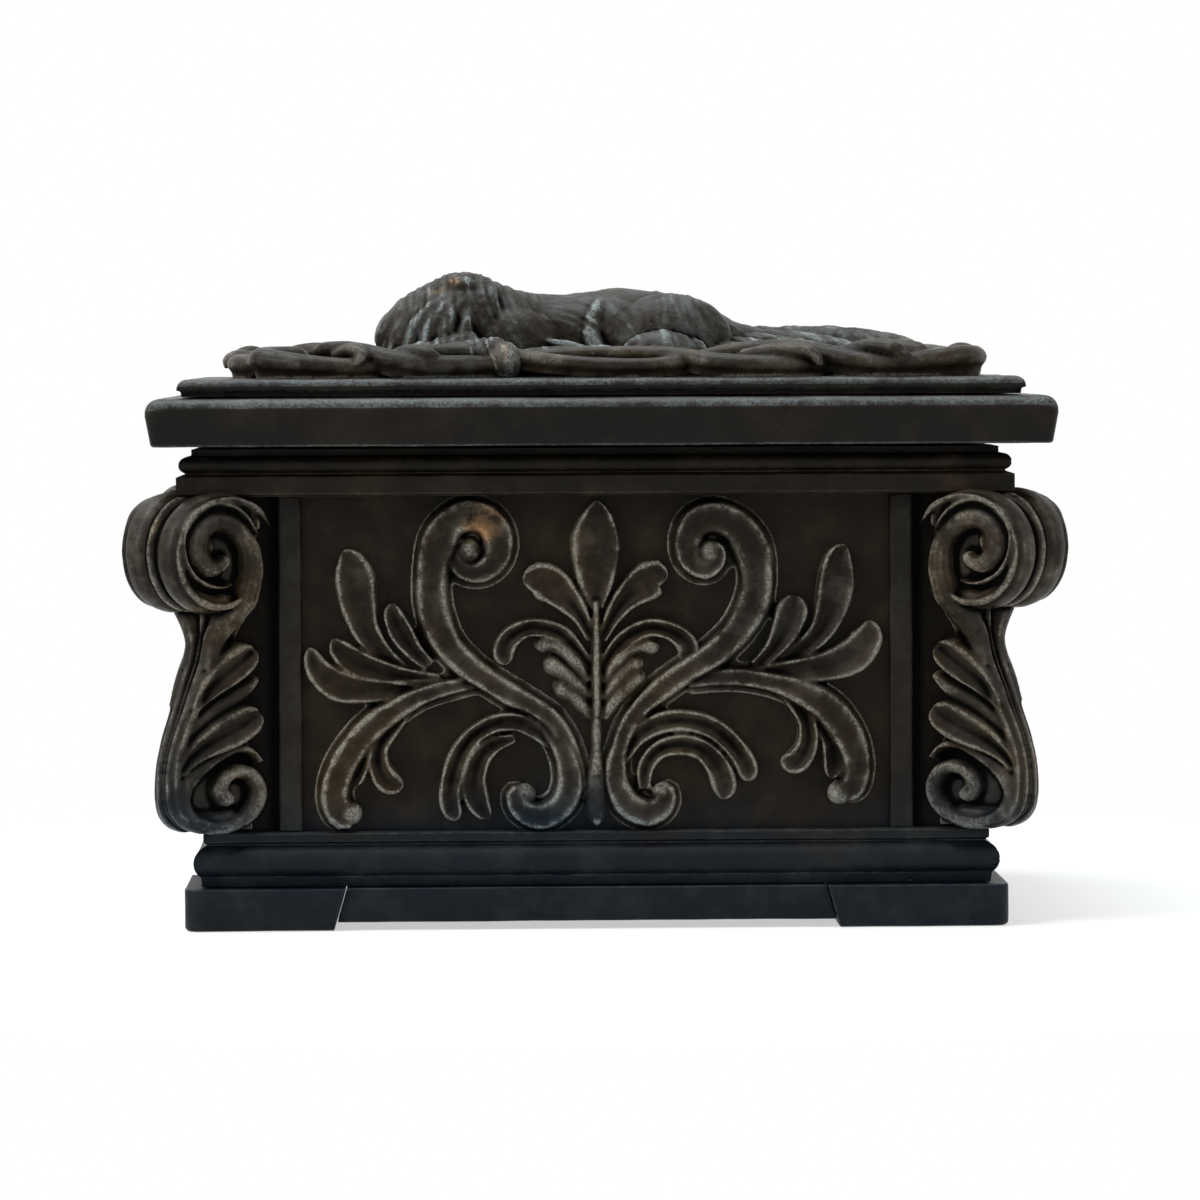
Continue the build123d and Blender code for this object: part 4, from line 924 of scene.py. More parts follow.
def leaf_into(heap, drawn, section, depth, spread=1.0, swell=True):
    """Sweeps one drawn line into the heap; the wall is at y = 0 and the carving stands towards -y."""
    stations = smooth_line([(across, 0, height, half) for across, height, half in drawn], 0.7)
    end = stations[-1]
    line = []
    for i, (across, _, height, half) in enumerate(stations):
        t = i / (len(stations) - 1)
        rise = 0.55 + 0.45 * min(1, t / 0.35) - 0.25 * max(0, (t - 0.82) / 0.18) if swell else 1.0
        left = math.dist((across, height), (end[0], end[2]))
        tip = tip_share(left, max(half * spread, 0.4), 0.06)
        wide = max(half * spread * tip, 0.25)
        line.append((across * MM, 0, height * MM, wide * MM, depth * rise * tip ** 0.5 * MM))
    add_to(heap, swept(section, line, OUT_OF_WALL))


def carved(lines, balls, squeeze=1.0):
    """One half, or the middle, of a field's ornament as a melted skin."""
    heap = bmesh.new()
    for name, drawn in lines.items():
        drawn = [(across * squeeze, height, half) for across, height, half in drawn]
        deep = name in DEEP_LINES
        section = STRAP if deep else RIB if name in ROUND_LINES else LEAF
        depth = CARVE_DEPTH * (STRAP_DEEPER if deep else LEAF_SHALLOWER)
        leaf_into(heap, drawn, section, depth, LINE_SPREAD)
        if deep:
            ledge = [(across, height, half + LEDGE_WIDER) for across, height, half in drawn]
            leaf_into(heap, ledge, RIB, LEDGE_DEPTH, swell=False)
    for across, height, radius in balls:
        bm = bmesh.new()
        bmesh.ops.create_icosphere(bm, subdivisions=3, radius=radius * MM)
        middle = (across * squeeze * MM, -BALL_SUNK * MM, height * MM)
        bmesh.ops.translate(bm, vec=middle, verts=bm.verts)
        add_to(heap, bm)
    skin = melted(heap, VOXELS["field"] * MM, 3)
    for vert in skin.verts:
        vert.co.y += wander(vert.co, 0.5 * MM) * min(1, max(0, -vert.co.y / (2 * MM)))
    trim(skin, Vector((0, 0.3 * MM, 0)), OUT_OF_WALL)
    return skin


# %% [markdown]
# The long fields carry the whole ornament. The short fields have less room, so theirs is
# squeezed a little and leaves out the sprays at the ends. Each skin is melted once, and its
# copies are turned onto opposite sides by quarter turns.

# %% The ornament on all four fields
SIDE_SQUEEZE = 0.87
NARROW_LINES = ("scroll", "c_outer", "c_inner", "c_roll")
TURNS = {"front": 0, "right": 90, "back": 180, "left": 270}
half_depth = -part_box("wall_front")[0][1]
half_width = -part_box("wall_left")[0][0]


def narrow(lines):
    """The lines that the short fields have room for."""
    return {name: drawn for name, drawn in lines.items() if name in NARROW_LINES}


# %% Onto opposite sides
def ornament_onto(sides, reach, ornament):
    """Puts each skin of an ornament on two opposite sides of the box."""
    for node_name, skin in ornament.items():
        for side in sides:
            bm = skin.copy()
            turn = Matrix.Rotation(math.radians(TURNS[side]), 4, "Z")
            place = turn @ Matrix.Translation((0, -reach, 0))
            bmesh.ops.transform(bm, matrix=place, verts=bm.verts)
            node = node_name.format(side)
            finished(
                "carved_" + node, bm, carved_resin, "box", [node],
                ridge_strength=RIDGE_STRENGTHS["field"],
            )
        skin.free()


ornament_onto(("front", "back"), half_depth, {
    "palmette_{}": carved(MIDDLE_LINES, []),
    "scroll_{}_left": carved(LEFT_LINES, LEFT_BALLS),
    "scroll_{}_right": carved(RIGHT_LINES, RIGHT_BALLS),
})
ornament_onto(("left", "right"), half_width, {
    "palmette_{}": carved(MIDDLE_LINES, [], SIDE_SQUEEZE),
    "scroll_{}_left": carved(narrow(LEFT_LINES), LEFT_BALLS[:2], SIDE_SQUEEZE),
    "scroll_{}_right": carved(narrow(RIGHT_LINES), RIGHT_BALLS[:2], SIDE_SQUEEZE),
})

# %% [markdown]
# ## The four corner consoles
# Each corner carries an S-shaped console like a strap that is rolled up at both ends. It is
# drawn in its own frame: u runs outwards along the diagonal of the corner, s runs across the
# strap and z is height. The outer face has two broad reeds with a bead between them and a fine
# reed at each edge. Each cheek shows a thin ring, a spiral band above and another at the foot,
# and two broad lobes with a small leaf between them. The cheeks are drawn 7 mm from the middle
# and then moved to their real splay in one go: wide at the upper roll, narrow at the waist and
# foot, and flaring back to the wall.

# %% The console's drawn lines
# The two stretches of its outer edge, the outline of its core and a web that ties it to the wall.
OUTER_EDGE = [
    (-4.8, 66.4), (-2.8, 69.0), (0.0, 70.7), (4.0, 71.6), (9.0, 70.7), (12.8, 67.8), (14.8, 63.6),
    (14.6, 58.8), (12.2, 54.6), (8.4, 52.2), (4.8, 51.7), (2.4, 52.2), (0.4, 53.6), (-0.6, 55.6),
]
LOWER_EDGE = [
    (1.6, 57.0), (2.6, 54.4), (3.4, 52.0), (3.7, 49.0), (4.3, 46.2), (5.0, 43.8), (6.5, 40.6),
    (8.4, 36.2), (10.6, 31.4), (11.9, 27.0), (12.1, 22.6), (11.2, 19.2), (8.8, 17.0), (5.6, 16.2),
    (1.6, 16.4), (-3.0, 17.2),
]
CORE = [
    (-4.0, 16.2), (4.0, 16.9), (8.6, 18.3), (10.4, 21.0), (10.4, 26.4), (9.2, 31.0), (7.0, 36.0),
    (5.0, 40.6), (3.5, 44.0), (2.8, 47.0), (2.2, 51.0), (6.4, 53.4), (11.0, 56.0), (13.0, 60.6),
    (12.8, 64.8), (9.6, 68.6), (4.8, 70.0), (-0.6, 69.0), (-2.2, 66.0), (-3.0, 60.0), (-2.8, 54.0),
    (-2.0, 48.0), (-2.0, 42.0), (-3.2, 34.0), (-4.2, 28.0), (-4.4, 22.0),
]
WEB = [(-9.0, 16.2), (0.0, 16.2), (0.0, 69.0), (-9.0, 69.0)]
# The bands on the cheeks: u, height and half width.
RING_LINE = [
    (-1.2, 64.4, 0.3), (0.6, 67.0, 0.5), (2.7, 68.8, 0.55), (4.8, 69.6, 0.6), (7.0, 69.8, 0.6),
    (9.2, 69.3, 0.6), (11.2, 68.1, 0.6), (12.5, 66.3, 0.6), (13.1, 64.2, 0.6), (13.0, 62.0, 0.6),
    (12.1, 59.7, 0.6), (10.4, 57.8, 0.6), (8.0, 56.6, 0.55), (5.4, 56.2, 0.4), (3.2, 56.8, 0.3),
]
STEM_BAND = [
    (4.6, 42.6, 0.6), (3.0, 45.4, 1.4), (2.2, 48.0, 1.9), (1.2, 51.2, 2.3), (-0.1, 54.7, 2.4),
    (-0.9, 58.5, 2.3), (-0.4, 62.1, 2.0), (1.4, 64.8, 1.8), (4.0, 66.5, 1.9), (6.8, 66.8, 2.1),
    (9.0, 65.6, 2.4), (9.9, 63.7, 2.5), (9.6, 61.6, 2.3), (8.2, 59.9, 1.9), (6.4, 59.4, 1.7),
    (4.9, 60.2, 1.4), (4.6, 61.6, 1.1),
]
KNOB = [(9.0, 63.6, 1.8), (8.2, 62.6, 2.1), (7.2, 61.4, 1.8)]
# The lobes and the leaf lift off the cheek towards their tips.
UPPER_LOBE = [
    (7.0, 36.6, 0.7), (5.6, 38.4, 1.4), (3.9, 40.3, 2.1), (2.0, 42.0, 2.7), (0.0, 43.6, 2.9),
    (-1.8, 45.0, 2.5), (-3.4, 46.2, 1.9),
]
MIDDLE_LOBE = [
    (9.9, 26.4, 0.7), (8.4, 28.4, 1.4), (6.2, 30.2, 2.1), (3.4, 31.8, 2.8), (0.6, 33.2, 3.1),
    (-1.8, 34.6, 2.8), (-3.9, 35.8, 2.2),
]
SMALL_LEAF = [
    (8.4, 32.0, 0.6), (6.4, 34.0, 1.1), (3.8, 35.9, 1.5), (1.0, 37.5, 1.6), (-1.6, 39.1, 1.4),
    (-3.2, 40.6, 0.9), (-4.0, 41.6, 0.5),
]
FOOT_BAND = [
    (-4.4, 27.4, 0.4), (-2.8, 29.2, 0.7), (0.0, 29.9, 1.1), (3.2, 28.8, 1.4), (6.3, 26.8, 1.6),
    (8.8, 24.4, 1.8), (9.7, 21.6, 1.8), (8.6, 19.0, 1.7), (6.0, 17.6, 1.5), (2.5, 17.2, 1.5),
    (-1.3, 18.4, 1.5), (-3.5, 20.6, 1.5), (-4.0, 23.2, 1.5), (-2.7, 25.4, 1.4), (-0.4, 26.0, 1.3),
    (1.8, 25.2, 1.3), (2.8, 23.4, 1.5), (2.0, 21.8, 1.6), (0.4, 21.6, 1.4),
]
# The strap's outer face: distance from its middle, half width, thickness and drop of each reed.
REEDS = [
    (0.0, 0.9, 1.2, 1.4), (3.8, 2.7, 1.9, 1.9), (-3.8, 2.7, 1.9, 1.9), (6.5, 0.5, 0.7, 1.3),
    (-6.5, 0.5, 0.7, 1.3),
]
print("stretches of edge:", len(OUTER_EDGE) + len(LOWER_EDGE), "points, reeds:", len(REEDS))


# %% The core
CHEEK = 7.0
SLICES = range(17, 72)


def inward(points, amount):
    """The same line moved to its right-hand side, towards the inside of the roll."""
    moved = []
    for i, (u, z) in enumerate(points):
        u0, z0 = points[max(i - 1, 0)]
        u1, z1 = points[min(i + 1, len(points) - 1)]
        length = math.hypot(u1 - u0, z1 - z0)
        moved.append((u + (z1 - z0) / length * amount, z - (u1 - u0) / length * amount))
    return moved


def slab_between(heap, outline, half):
    """A flat core with the given outline, cut across in slices so that it can follow the splay."""
    bm = bmesh.new()
    face = bm.faces.new([bm.verts.new((u * MM, -half * MM, z * MM)) for u, z in outline])
    side = bmesh.ops.extrude_face_region(bm, geom=[face])["geom"]
    made = [vert for vert in side if isinstance(vert, bmesh.types.BMVert)]
    bmesh.ops.translate(bm, vec=(0, 2 * half * MM, 0), verts=made)
    bmesh.ops.recalc_face_normals(bm, faces=bm.faces)
    for height in SLICES:
        cut_across(bm, (0, 0, height * MM), (0, 0, 1))
    add_to(heap, bm)


# %% Reeds and bands
def edge_run(heap, edge):
    """The reeds along one stretch of the strap's outer edge."""
    for off, half, thick, drop in REEDS:
        stations = smooth_line([(u, off, z) for u, z in inward(edge, drop)], 0.7)
        line = []
        for i, (u, s, z) in enumerate(stations):
            blunt = blunt_share(i, len(stations) - 1, 0.25, 7)
            line.append((u * MM, s * MM, z * MM, thick * blunt * MM, half * blunt * MM))
        add_to(heap, swept(REED, line, Vector((0, 1, 0))))


def cheek_band(heap, drawn, section, side, proud, sunk, lift):
    """A band laid on one cheek of the console, which lifts off it by this much towards its end."""
    last = len(drawn) - 1
    stations = smooth_line([
        (u, side * (CHEEK - sunk + lift * i / last), z, half) for i, (u, z, half) in enumerate(drawn)
    ], 0.4)
    end = stations[-1]
    line = []
    for u, s, z, half in stations:
        tip = tip_share(math.dist((u, z), (end[0], end[2])), half, 0.04)
        line.append((u * MM, s * MM, z * MM, max(half * tip, 0.3) * MM, proud * tip ** 0.5 * MM))
    add_to(heap, swept(section, line, Vector((0, side, 0))))


# %% [markdown]
# Drawing every band on a slanted and curved cheek would be hard. One rule that moves all the
# vertices of the heap does the same, and keeps the depth of the carving wherever the strap is
# wide enough for it.

# %% The splay of the cheeks
# How far a cheek lies from the middle: the distance at one place, its u and z, and the change
# with each millimetre of u and of z.
UPPER_SPLAY = (7.0, 14.9, 61.8, 0.15, 0.04)
LOWER_SPLAY = (2.4, 12.6, 25.0, 0.26, -0.05)
# The lower splay passes into the upper one from this height on, over this length.
WAIST, WAIST_LENGTH = 46, 8
# The carving is drawn beyond this distance from the middle, and a strap this wide keeps its depth.
CARVED_FROM = 4.5


def cheek_distance(splay, u, z):
    there, u_there, z_there, by_u, by_z = splay
    return there + by_u * (u_there - u) + by_z * (z - z_there)


def splayed(place):
    """Moves the cheeks from their drawn to their real distance from the strap's middle."""
    u, z = place.x / MM, place.z / MM
    upper, lower = cheek_distance(UPPER_SPLAY, u, z), cheek_distance(LOWER_SPLAY, u, z)
    share = min(1, max(0, (z - WAIST) / WAIST_LENGTH))
    share = share * share * (3 - 2 * share)
    cheek = lower + (upper - lower) * share
    depth = min(1.0, cheek / CARVED_FROM)
    side, s = (1 if place.y > 0 else -1), abs(place.y) / MM
    if s > CARVED_FROM:
        moved = cheek - (CHEEK - s) * depth
    else:
        moved = s / CARVED_FROM * (cheek - (CHEEK - CARVED_FROM) * depth)
    place.y = side * moved * MM


# %% One console
CORE_HALF, WEB_HALF = 4.5, 1.8
# Each band: line, section, how far it stands proud, how deep it is sunk, and its lift.
CHEEK_BANDS = [
    (RING_LINE, RIB, 1.7, 1.5, 0.0),
    (STEM_BAND, RIB, 2.6, 2.4, 0.0),
    (KNOB, RIB, 2.2, 2.4, 0.0),
    (FOOT_BAND, RIB, 2.6, 2.4, 0.0),
    (SMALL_LEAF, RIB, 2.0, 2.4, 1.6),
    (UPPER_LOBE, LOBE, 2.8, 2.5, 1.9),
    (MIDDLE_LOBE, LOBE, 2.8, 2.5, 1.9),
]

console_heap = bmesh.new()
core = smooth_line([(u, 0.0, z) for u, z in CORE], 1.5)
slab_between(console_heap, [(u, z) for u, _, z in core], CORE_HALF)
slab_between(console_heap, WEB, WEB_HALF)
edge_run(console_heap, OUTER_EDGE)
edge_run(console_heap, LOWER_EDGE)
for side in (1, -1):
    for drawn, section, proud, sunk, lift in CHEEK_BANDS:
        cheek_band(console_heap, drawn, section, side, proud, sunk, lift)
for vert in console_heap.verts:
    splayed(vert.co)
console_skin = melted(console_heap, VOXELS["console"] * MM, 2)
for vert in console_skin.verts:
    vert.co -= vert.normal * wander(vert.co, 0.28 * MM)
print("console skin:", len(console_skin.verts), "vertices")

# %% [markdown]
# The four consoles are alike. One is turned onto its corner, cut off inside the walls and at
# its foot, and mirrored to the others. A mirrored copy is inside out until its faces are turned.

# %% Mirrored to four corners
BEHIND_WALL = 0.9
CORNERS = {
    "front_left": (1, 1), "front_right": (-1, 1), "back_left": (1, -1), "back_right": (-1, -1),
}
corner_turn = Matrix((
    (-math.sqrt(0.5), math.sqrt(0.5), 0, -half_width),
    (-math.sqrt(0.5), -math.sqrt(0.5), 0, -half_depth),
    (0, 0, 1, 0),
    (0, 0, 0, 1),
))
bmesh.ops.transform(console_skin, matrix=corner_turn, verts=console_skin.verts)
console_low, console_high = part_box("console_front_left")
trim(console_skin, Vector((console_high.x + BEHIND_WALL * MM, 0, 0)), Vector((-1, 0, 0)))
trim(console_skin, Vector((0, console_high.y + BEHIND_WALL * MM, 0)), Vector((0, -1, 0)))
trim(console_skin, Vector((0, 0, console_low.z)), UP)
for corner, (flip_x, flip_y) in CORNERS.items():
    bm = console_skin.copy()
    bmesh.ops.scale(bm, vec=(flip_x, flip_y, 1), verts=bm.verts)
    if flip_x * flip_y < 0:
        bmesh.ops.reverse_faces(bm, faces=bm.faces)
    finished(
        "carved_console_" + corner, bm, console_resin, "box", ["console_" + corner],
        ridge_strength=RIDGE_STRENGTHS["console"],
    )
console_skin.free()

# %% [markdown]
# ## The beast on the lid
# A maned beast lies along the lid, its forelegs stretched forward and its long tail trailing.
# A modeller would lay down a trunk, press balls of clay on it for head, shoulder and haunch,
# roll out the limbs and lay strands over the neck for the mane. The same forms are swept and
# melted together here. x runs along the lid, y across it and z is height above the lid's top.

# %% Forms of the beast
lid_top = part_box("lid_step")[1].z / MM
lid_middle = (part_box("lid_step")[0].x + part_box("lid_step")[1].x) / 2 / MM
# The trunk: x, y, height, half width and half height.
TRUNK = [
    (-35.0, -1, 3.0, 3.5, 2.6), (-33.8, -1, 4.2, 6.5, 5.4), (-31.8, -1, 5.2, 9.5, 7.0),
    (-28.5, -1, 6.4, 11.5, 8.5), (-24.8, -1, 7.0, 12.0, 10.0), (-21.8, -1, 7.4, 12.0, 10.5),
    (-18.4, 0, 7.0, 11.6, 9.4), (-14.6, 0, 6.4, 11.0, 8.6), (-10.8, 1, 6.0, 10.6, 8.3),
    (-5.4, 1, 6.0, 10.2, 8.0), (-0.4, 1, 6.0, 10.8, 8.4), (4.0, 1, 6.0, 11.6, 9.1),
    (10.0, 1, 6.0, 12.0, 8.5), (15.2, 1, 5.4, 11.5, 7.8), (19.4, 1, 4.8, 10.0, 6.5),
    (23.2, 1, 4.4, 8.0, 5.2), (28.0, 1, 4.2, 5.0, 3.8), (32.0, 1, 3.4, 3.0, 2.6),
]
# Each lump of clay: its middle and its half sizes.
CLAY_BALLS = [
    ((-25.5, -5, 9.6), (6.6, 6.2, 6.0)), ((-22.4, -7.4, 15.2), (2.9, 2.2, 1.7)),
    ((-31.6, -6, 5.6), (3.4, 6.0, 5.6)), ((-14.6, -7.4, 5.8), (9.4, 5.8, 6.2)),
    ((12.6, -6.8, 5.6), (10.8, 7.2, 8.4)), ((11.0, -15.6, 3.4), (6.8, 4.6, 4.4)),
    ((12.5, 8.4, 5.2), (10.0, 6.4, 8.0)), ((-17, 10, 5.6), (7.4, 5.0, 6.4)),
    ((-15.6, -40.0, 2.6), (3.0, 2.9, 3.3)), ((-17.4, -38.6, 4.2), (2.6, 2.6, 2.4)),
    ((-36, 17.0, 2.2), (3.0, 2.4, 2.2)), ((0.6, 19.5, 2.2), (3.4, 2.4, 2.2)),
    ((-36.0, 1.5, 2.6), (3.0, 3.6, 3.0)), ((-22.4, 7.0, 15.2), (2.9, 2.2, 1.7)),
    ((-14.6, -22.0, 1.9), (3.0, 2.3, 1.9)), ((-3.6, -28.0, 1.8), (2.9, 2.2, 1.8)),
    ((-29.0, -23.5, 3.0), (3.5, 3.4, 3.0)), ((26.6, -20.0, 2.4), (3.2, 4.0, 2.6)),
    ((36.0, -2.6, 0.6), (18.6, 15.0, 3.6)), ((24.0, 0.0, 2.0), (8.0, 11.0, 4.6)),
]
# Limbs, strands and folds: x, y, height and radius.
LIMBS = [
    [
        (-20, -12, 5.0, 3.6), (-27, -18, 3.6, 3.0), (-29, -24, 3.2, 2.6), (-26, -30, 3.3, 2.4),
        (-21.5, -35.5, 4.2, 2.3), (-18, -38.4, 4.6, 2.4),
    ],
    [
        (18, -13.5, 3.6, 3.4), (10, -18.5, 3.0, 2.6), (2, -21.5, 3.2, 2.2), (-6, -22.5, 3.6, 1.9),
        (-13, -22, 3.2, 1.8),
    ],
    [
        (20, -9, 3.4, 3.0), (27, -16, 3.0, 2.4), (26, -24, 2.6, 2.0), (18, -28, 2.6, 1.9),
        (8, -28.5, 2.6, 1.9), (-2, -28, 2.4, 1.8),
    ],
    [(-12, 13, 3.2, 3.2), (-24, 17.5, 2.8, 2.6), (-36, 17.0, 2.2, 2.2)],
    [(24, 11, 3.4, 3.4), (12, 17, 3.0, 2.8), (0, 19.5, 2.4, 2.2)],
]
TAIL_STRANDS = [
    [
        (22, 3, 5.6, 3.0), (30, 6, 5.8, 3.0), (40, 6.5, 5.8, 3.0), (48, 3.5, 5.2, 2.8),
        (52.6, -3, 4.2, 2.6), (52.6, -10, 3.0, 2.3), (50, -16, 2.0, 1.6),
    ],
    [
        (20, 0, 5.8, 2.4), (28, 1.4, 6.0, 2.2), (36, -0.6, 5.6, 2.0), (42.0, -5.5, 4.6, 1.8),
        (44.6, -12, 3.4, 1.6), (44.4, -18, 2.2, 1.3),
    ],
    [
        (20, -3, 5.6, 2.1), (27, -3.4, 5.6, 1.9), (33.4, -5.6, 5.0, 1.7), (37.6, -10.6, 4.0, 1.6),
        (39.2, -17, 2.6, 1.3),
    ],
    [
        (19, -6, 5.0, 1.9), (25, -7.4, 5.0, 1.7), (30.0, -10.4, 4.4, 1.5), (33.2, -15.2, 3.4, 1.4),
        (34.0, -20.5, 2.2, 1.1),
    ],
    [(18, -9, 4.4, 1.6), (23, -11, 4.3, 1.5), (27.2, -14.8, 3.6, 1.3), (29.4, -20, 2.4, 1.0)],
    [(22, 6, 4.6, 2.4), (30, 11, 4.4, 2.4), (40, 13, 4.0, 2.4), (50, 11, 3.4, 2.2), (56, 5, 2.6, 1.8)],
]
MANE_STRANDS = [
    [
        (-23.6, -9.4, 13.4, 0.9), (-26.6, -11.6, 11.4, 1.2), (-28.8, -13.2, 8.2, 1.4),
        (-29.4, -14.2, 4.4, 1.5), (-29.2, -14.6, 1.0, 1.3),
    ],
    [
        (-23, -9.8, 13.0, 0.9), (-25.0, -12.0, 11.0, 1.2), (-26.4, -13.6, 7.8, 1.4),
        (-26.4, -14.6, 4.0, 1.4), (-26.0, -15, 1.0, 1.2),
    ],
    [
        (-24.6, -8.8, 13.8, 0.9), (-28.6, -10.6, 11.6, 1.2), (-31.6, -12.0, 8.0, 1.4),
        (-32.6, -12.6, 4.0, 1.4), (-32.6, -12.8, 0.8, 1.2),
    ],
    [
        (-26, -6.6, 14.6, 0.9), (-31, -8.4, 11.4, 1.2), (-34.4, -9.6, 7.4, 1.3),
        (-35.4, -9.6, 3.4, 1.3), (-35.4, -9.6, 0.6, 1.0),
    ],
    [
        (-27, -3.4, 15.2, 0.9), (-32, -5.0, 11.8, 1.1), (-35.4, -5.8, 7.4, 1.2),
        (-36.6, -5.8, 2.8, 1.2), (-36.8, -5.8, 0.6, 0.9),
    ],
    [
        (-21.6, -10.4, 12.4, 0.8), (-22.6, -13, 9.4, 1.1), (-23.2, -14.4, 5.8, 1.3),
        (-22.8, -15.2, 2.2, 1.2),
    ],
    [(-24.5, 0, 16.8, 0.9), (-27, 5, 14.4, 1.1), (-29, 9.6, 10.2, 1.2), (-30, 12, 4.6, 1.1)],
    [(-21, 1, 17.2, 0.9), (-22, 6.6, 14.6, 1.1), (-23, 11, 9.6, 1.1), (-23.4, 13.4, 3.6, 1.0)],
    [(-29, -1, 14.8, 0.9), (-33, 3, 11.6, 1.1), (-35.4, 6.4, 6.6, 1.1), (-36.0, 8, 2.2, 1.0)],
]
FUR_FOLDS = [
    [
        (1.6, -3.4, 12.6, 1.2), (0.2, -7.0, 10.8, 1.6), (-0.6, -9.2, 8.0, 1.7), (0.0, -10.2, 5.0, 1.6),
        (1.6, -10.6, 2.4, 1.2),
    ],
    [(-10, -11.0, 6.4, 0.5), (-5, -12.0, 5.4, 0.7), (0, -13.2, 4.4, 0.5)],
    [(-13, -12.4, 3.4, 0.6), (-7, -13.8, 3.2, 0.9), (0, -14.8, 2.8, 0.8), (5, -16, 2.4, 0.5)],
]
print("strands:", len(LIMBS) + len(TAIL_STRANDS) + len(MANE_STRANDS) + len(FUR_FOLDS))


# %% Pressing the clay together
# How deep the carving on the lid reaches into the slab.
LID_SUNK = 0.2


def clay(heap, centre, size):
    """An egg-shaped lump of clay."""
    bm = bmesh.new()
    bmesh.ops.create_icosphere(bm, subdivisions=4, radius=1)
    bmesh.ops.scale(bm, vec=[half * MM for half in size], verts=bm.verts)
    bmesh.ops.translate(bm, vec=[c * MM for c in centre], verts=bm.verts)
    add_to(heap, bm)


def roll(heap, drawn, flat=1.0):
    """A rolled strand through (x, y, z, radius)."""
    stations = smooth_line(drawn, 0.8)
    line = []
    for i, (x, y, z, radius) in enumerate(stations):
        blunt = blunt_share(i, len(stations) - 1, 0.35, 3)
        line.append((x * MM, y * MM, z * MM, radius * blunt * MM, radius * blunt * flat * MM))
    add_to(heap, swept(REED, line, UP))


# %% [markdown]
# Hair strand by strand would need far too many faces, and at this size a mould only keeps locks.
# Noise that is stretched along the lie of the hair lifts and sinks the skin instead.

# %% The coat
# Which way the hair lies along the lid, as an angle at each x, and how deep its locks are.
LEAN_AT, LEAN = (-34, -26, -18, -8, 4, 10, 24), (1.9, 1.5, 1.0, 0.55, 1.0, 1.45, 0.7)
LOCKS_AT, LOCKS = (-24, -14), (0.36, 0.22)
HAIRS = 0.13


def fur(place):
    """How far hair lifts the surface; it hangs in the mane, lies along the neck and falls on the haunch."""
    x, y, z = place / MM
    lean = np.interp(x, LEAN_AT, LEAN)
    along = x * math.cos(lean) - z * math.sin(lean)
    across = x * math.sin(lean) + z * math.cos(lean)
    lock_place = Vector((across * 0.62, along * 0.11, y * 0.10))
    locks = noise.noise(lock_place) * np.interp(x, LOCKS_AT, LOCKS)
    hairs = noise.noise(Vector((across * 1.9, along * 0.22, y * 0.25))) * HAIRS
    return (locks + hairs) * MM * min(1, max(0, z / 3.5))


print("hair lies at", [round(math.degrees(angle)) for angle in LEAN], "degrees")

# %% The whole beast
beast = bmesh.new()
trunk_line = [[number * MM for number in station] for station in smooth_line(TRUNK, 1.0)]
add_to(beast, swept(ROUND, trunk_line, UP))
for centre, size in CLAY_BALLS:
    clay(beast, centre, size)
for strand in LIMBS + TAIL_STRANDS:
    roll(beast, strand, 0.9)
for strand in MANE_STRANDS:
    roll(beast, [(x * 0.955, y * 0.96, z - 0.2, radius * 1.2) for x, y, z, radius in strand])
for strand in FUR_FOLDS:
    roll(beast, strand)
beast_skin = melted(beast, VOXELS["beast"] * MM, 2)
for vert in beast_skin.verts:
    vert.co += vert.normal * (fur(vert.co) - wander(vert.co, 0.25 * MM))
trim(beast_skin, Vector((0, 0, -LID_SUNK * MM)), UP)
bmesh.ops.translate(beast_skin, vec=(lid_middle * MM, 0, lid_top * MM), verts=beast_skin.verts)
finished(
    "carved_beast", beast_skin, figure_resin, "lid", ["lid_figure"],
    ridge_strength=RIDGE_STRENGTHS["beast"],
)

# %% [markdown]
# ## The interlaced vine round the lid
# Two round strands wind along each side of the lid's top and cross over each other again and
# again, with open eyes between the crossings and curled leaves at a few of them. They are rolled
# like the limbs of the beast, but on a section with a narrow foot, so that the crossings stay
# crisp. The short strands are drawn lying along x too, and a turn brings them to their sides.

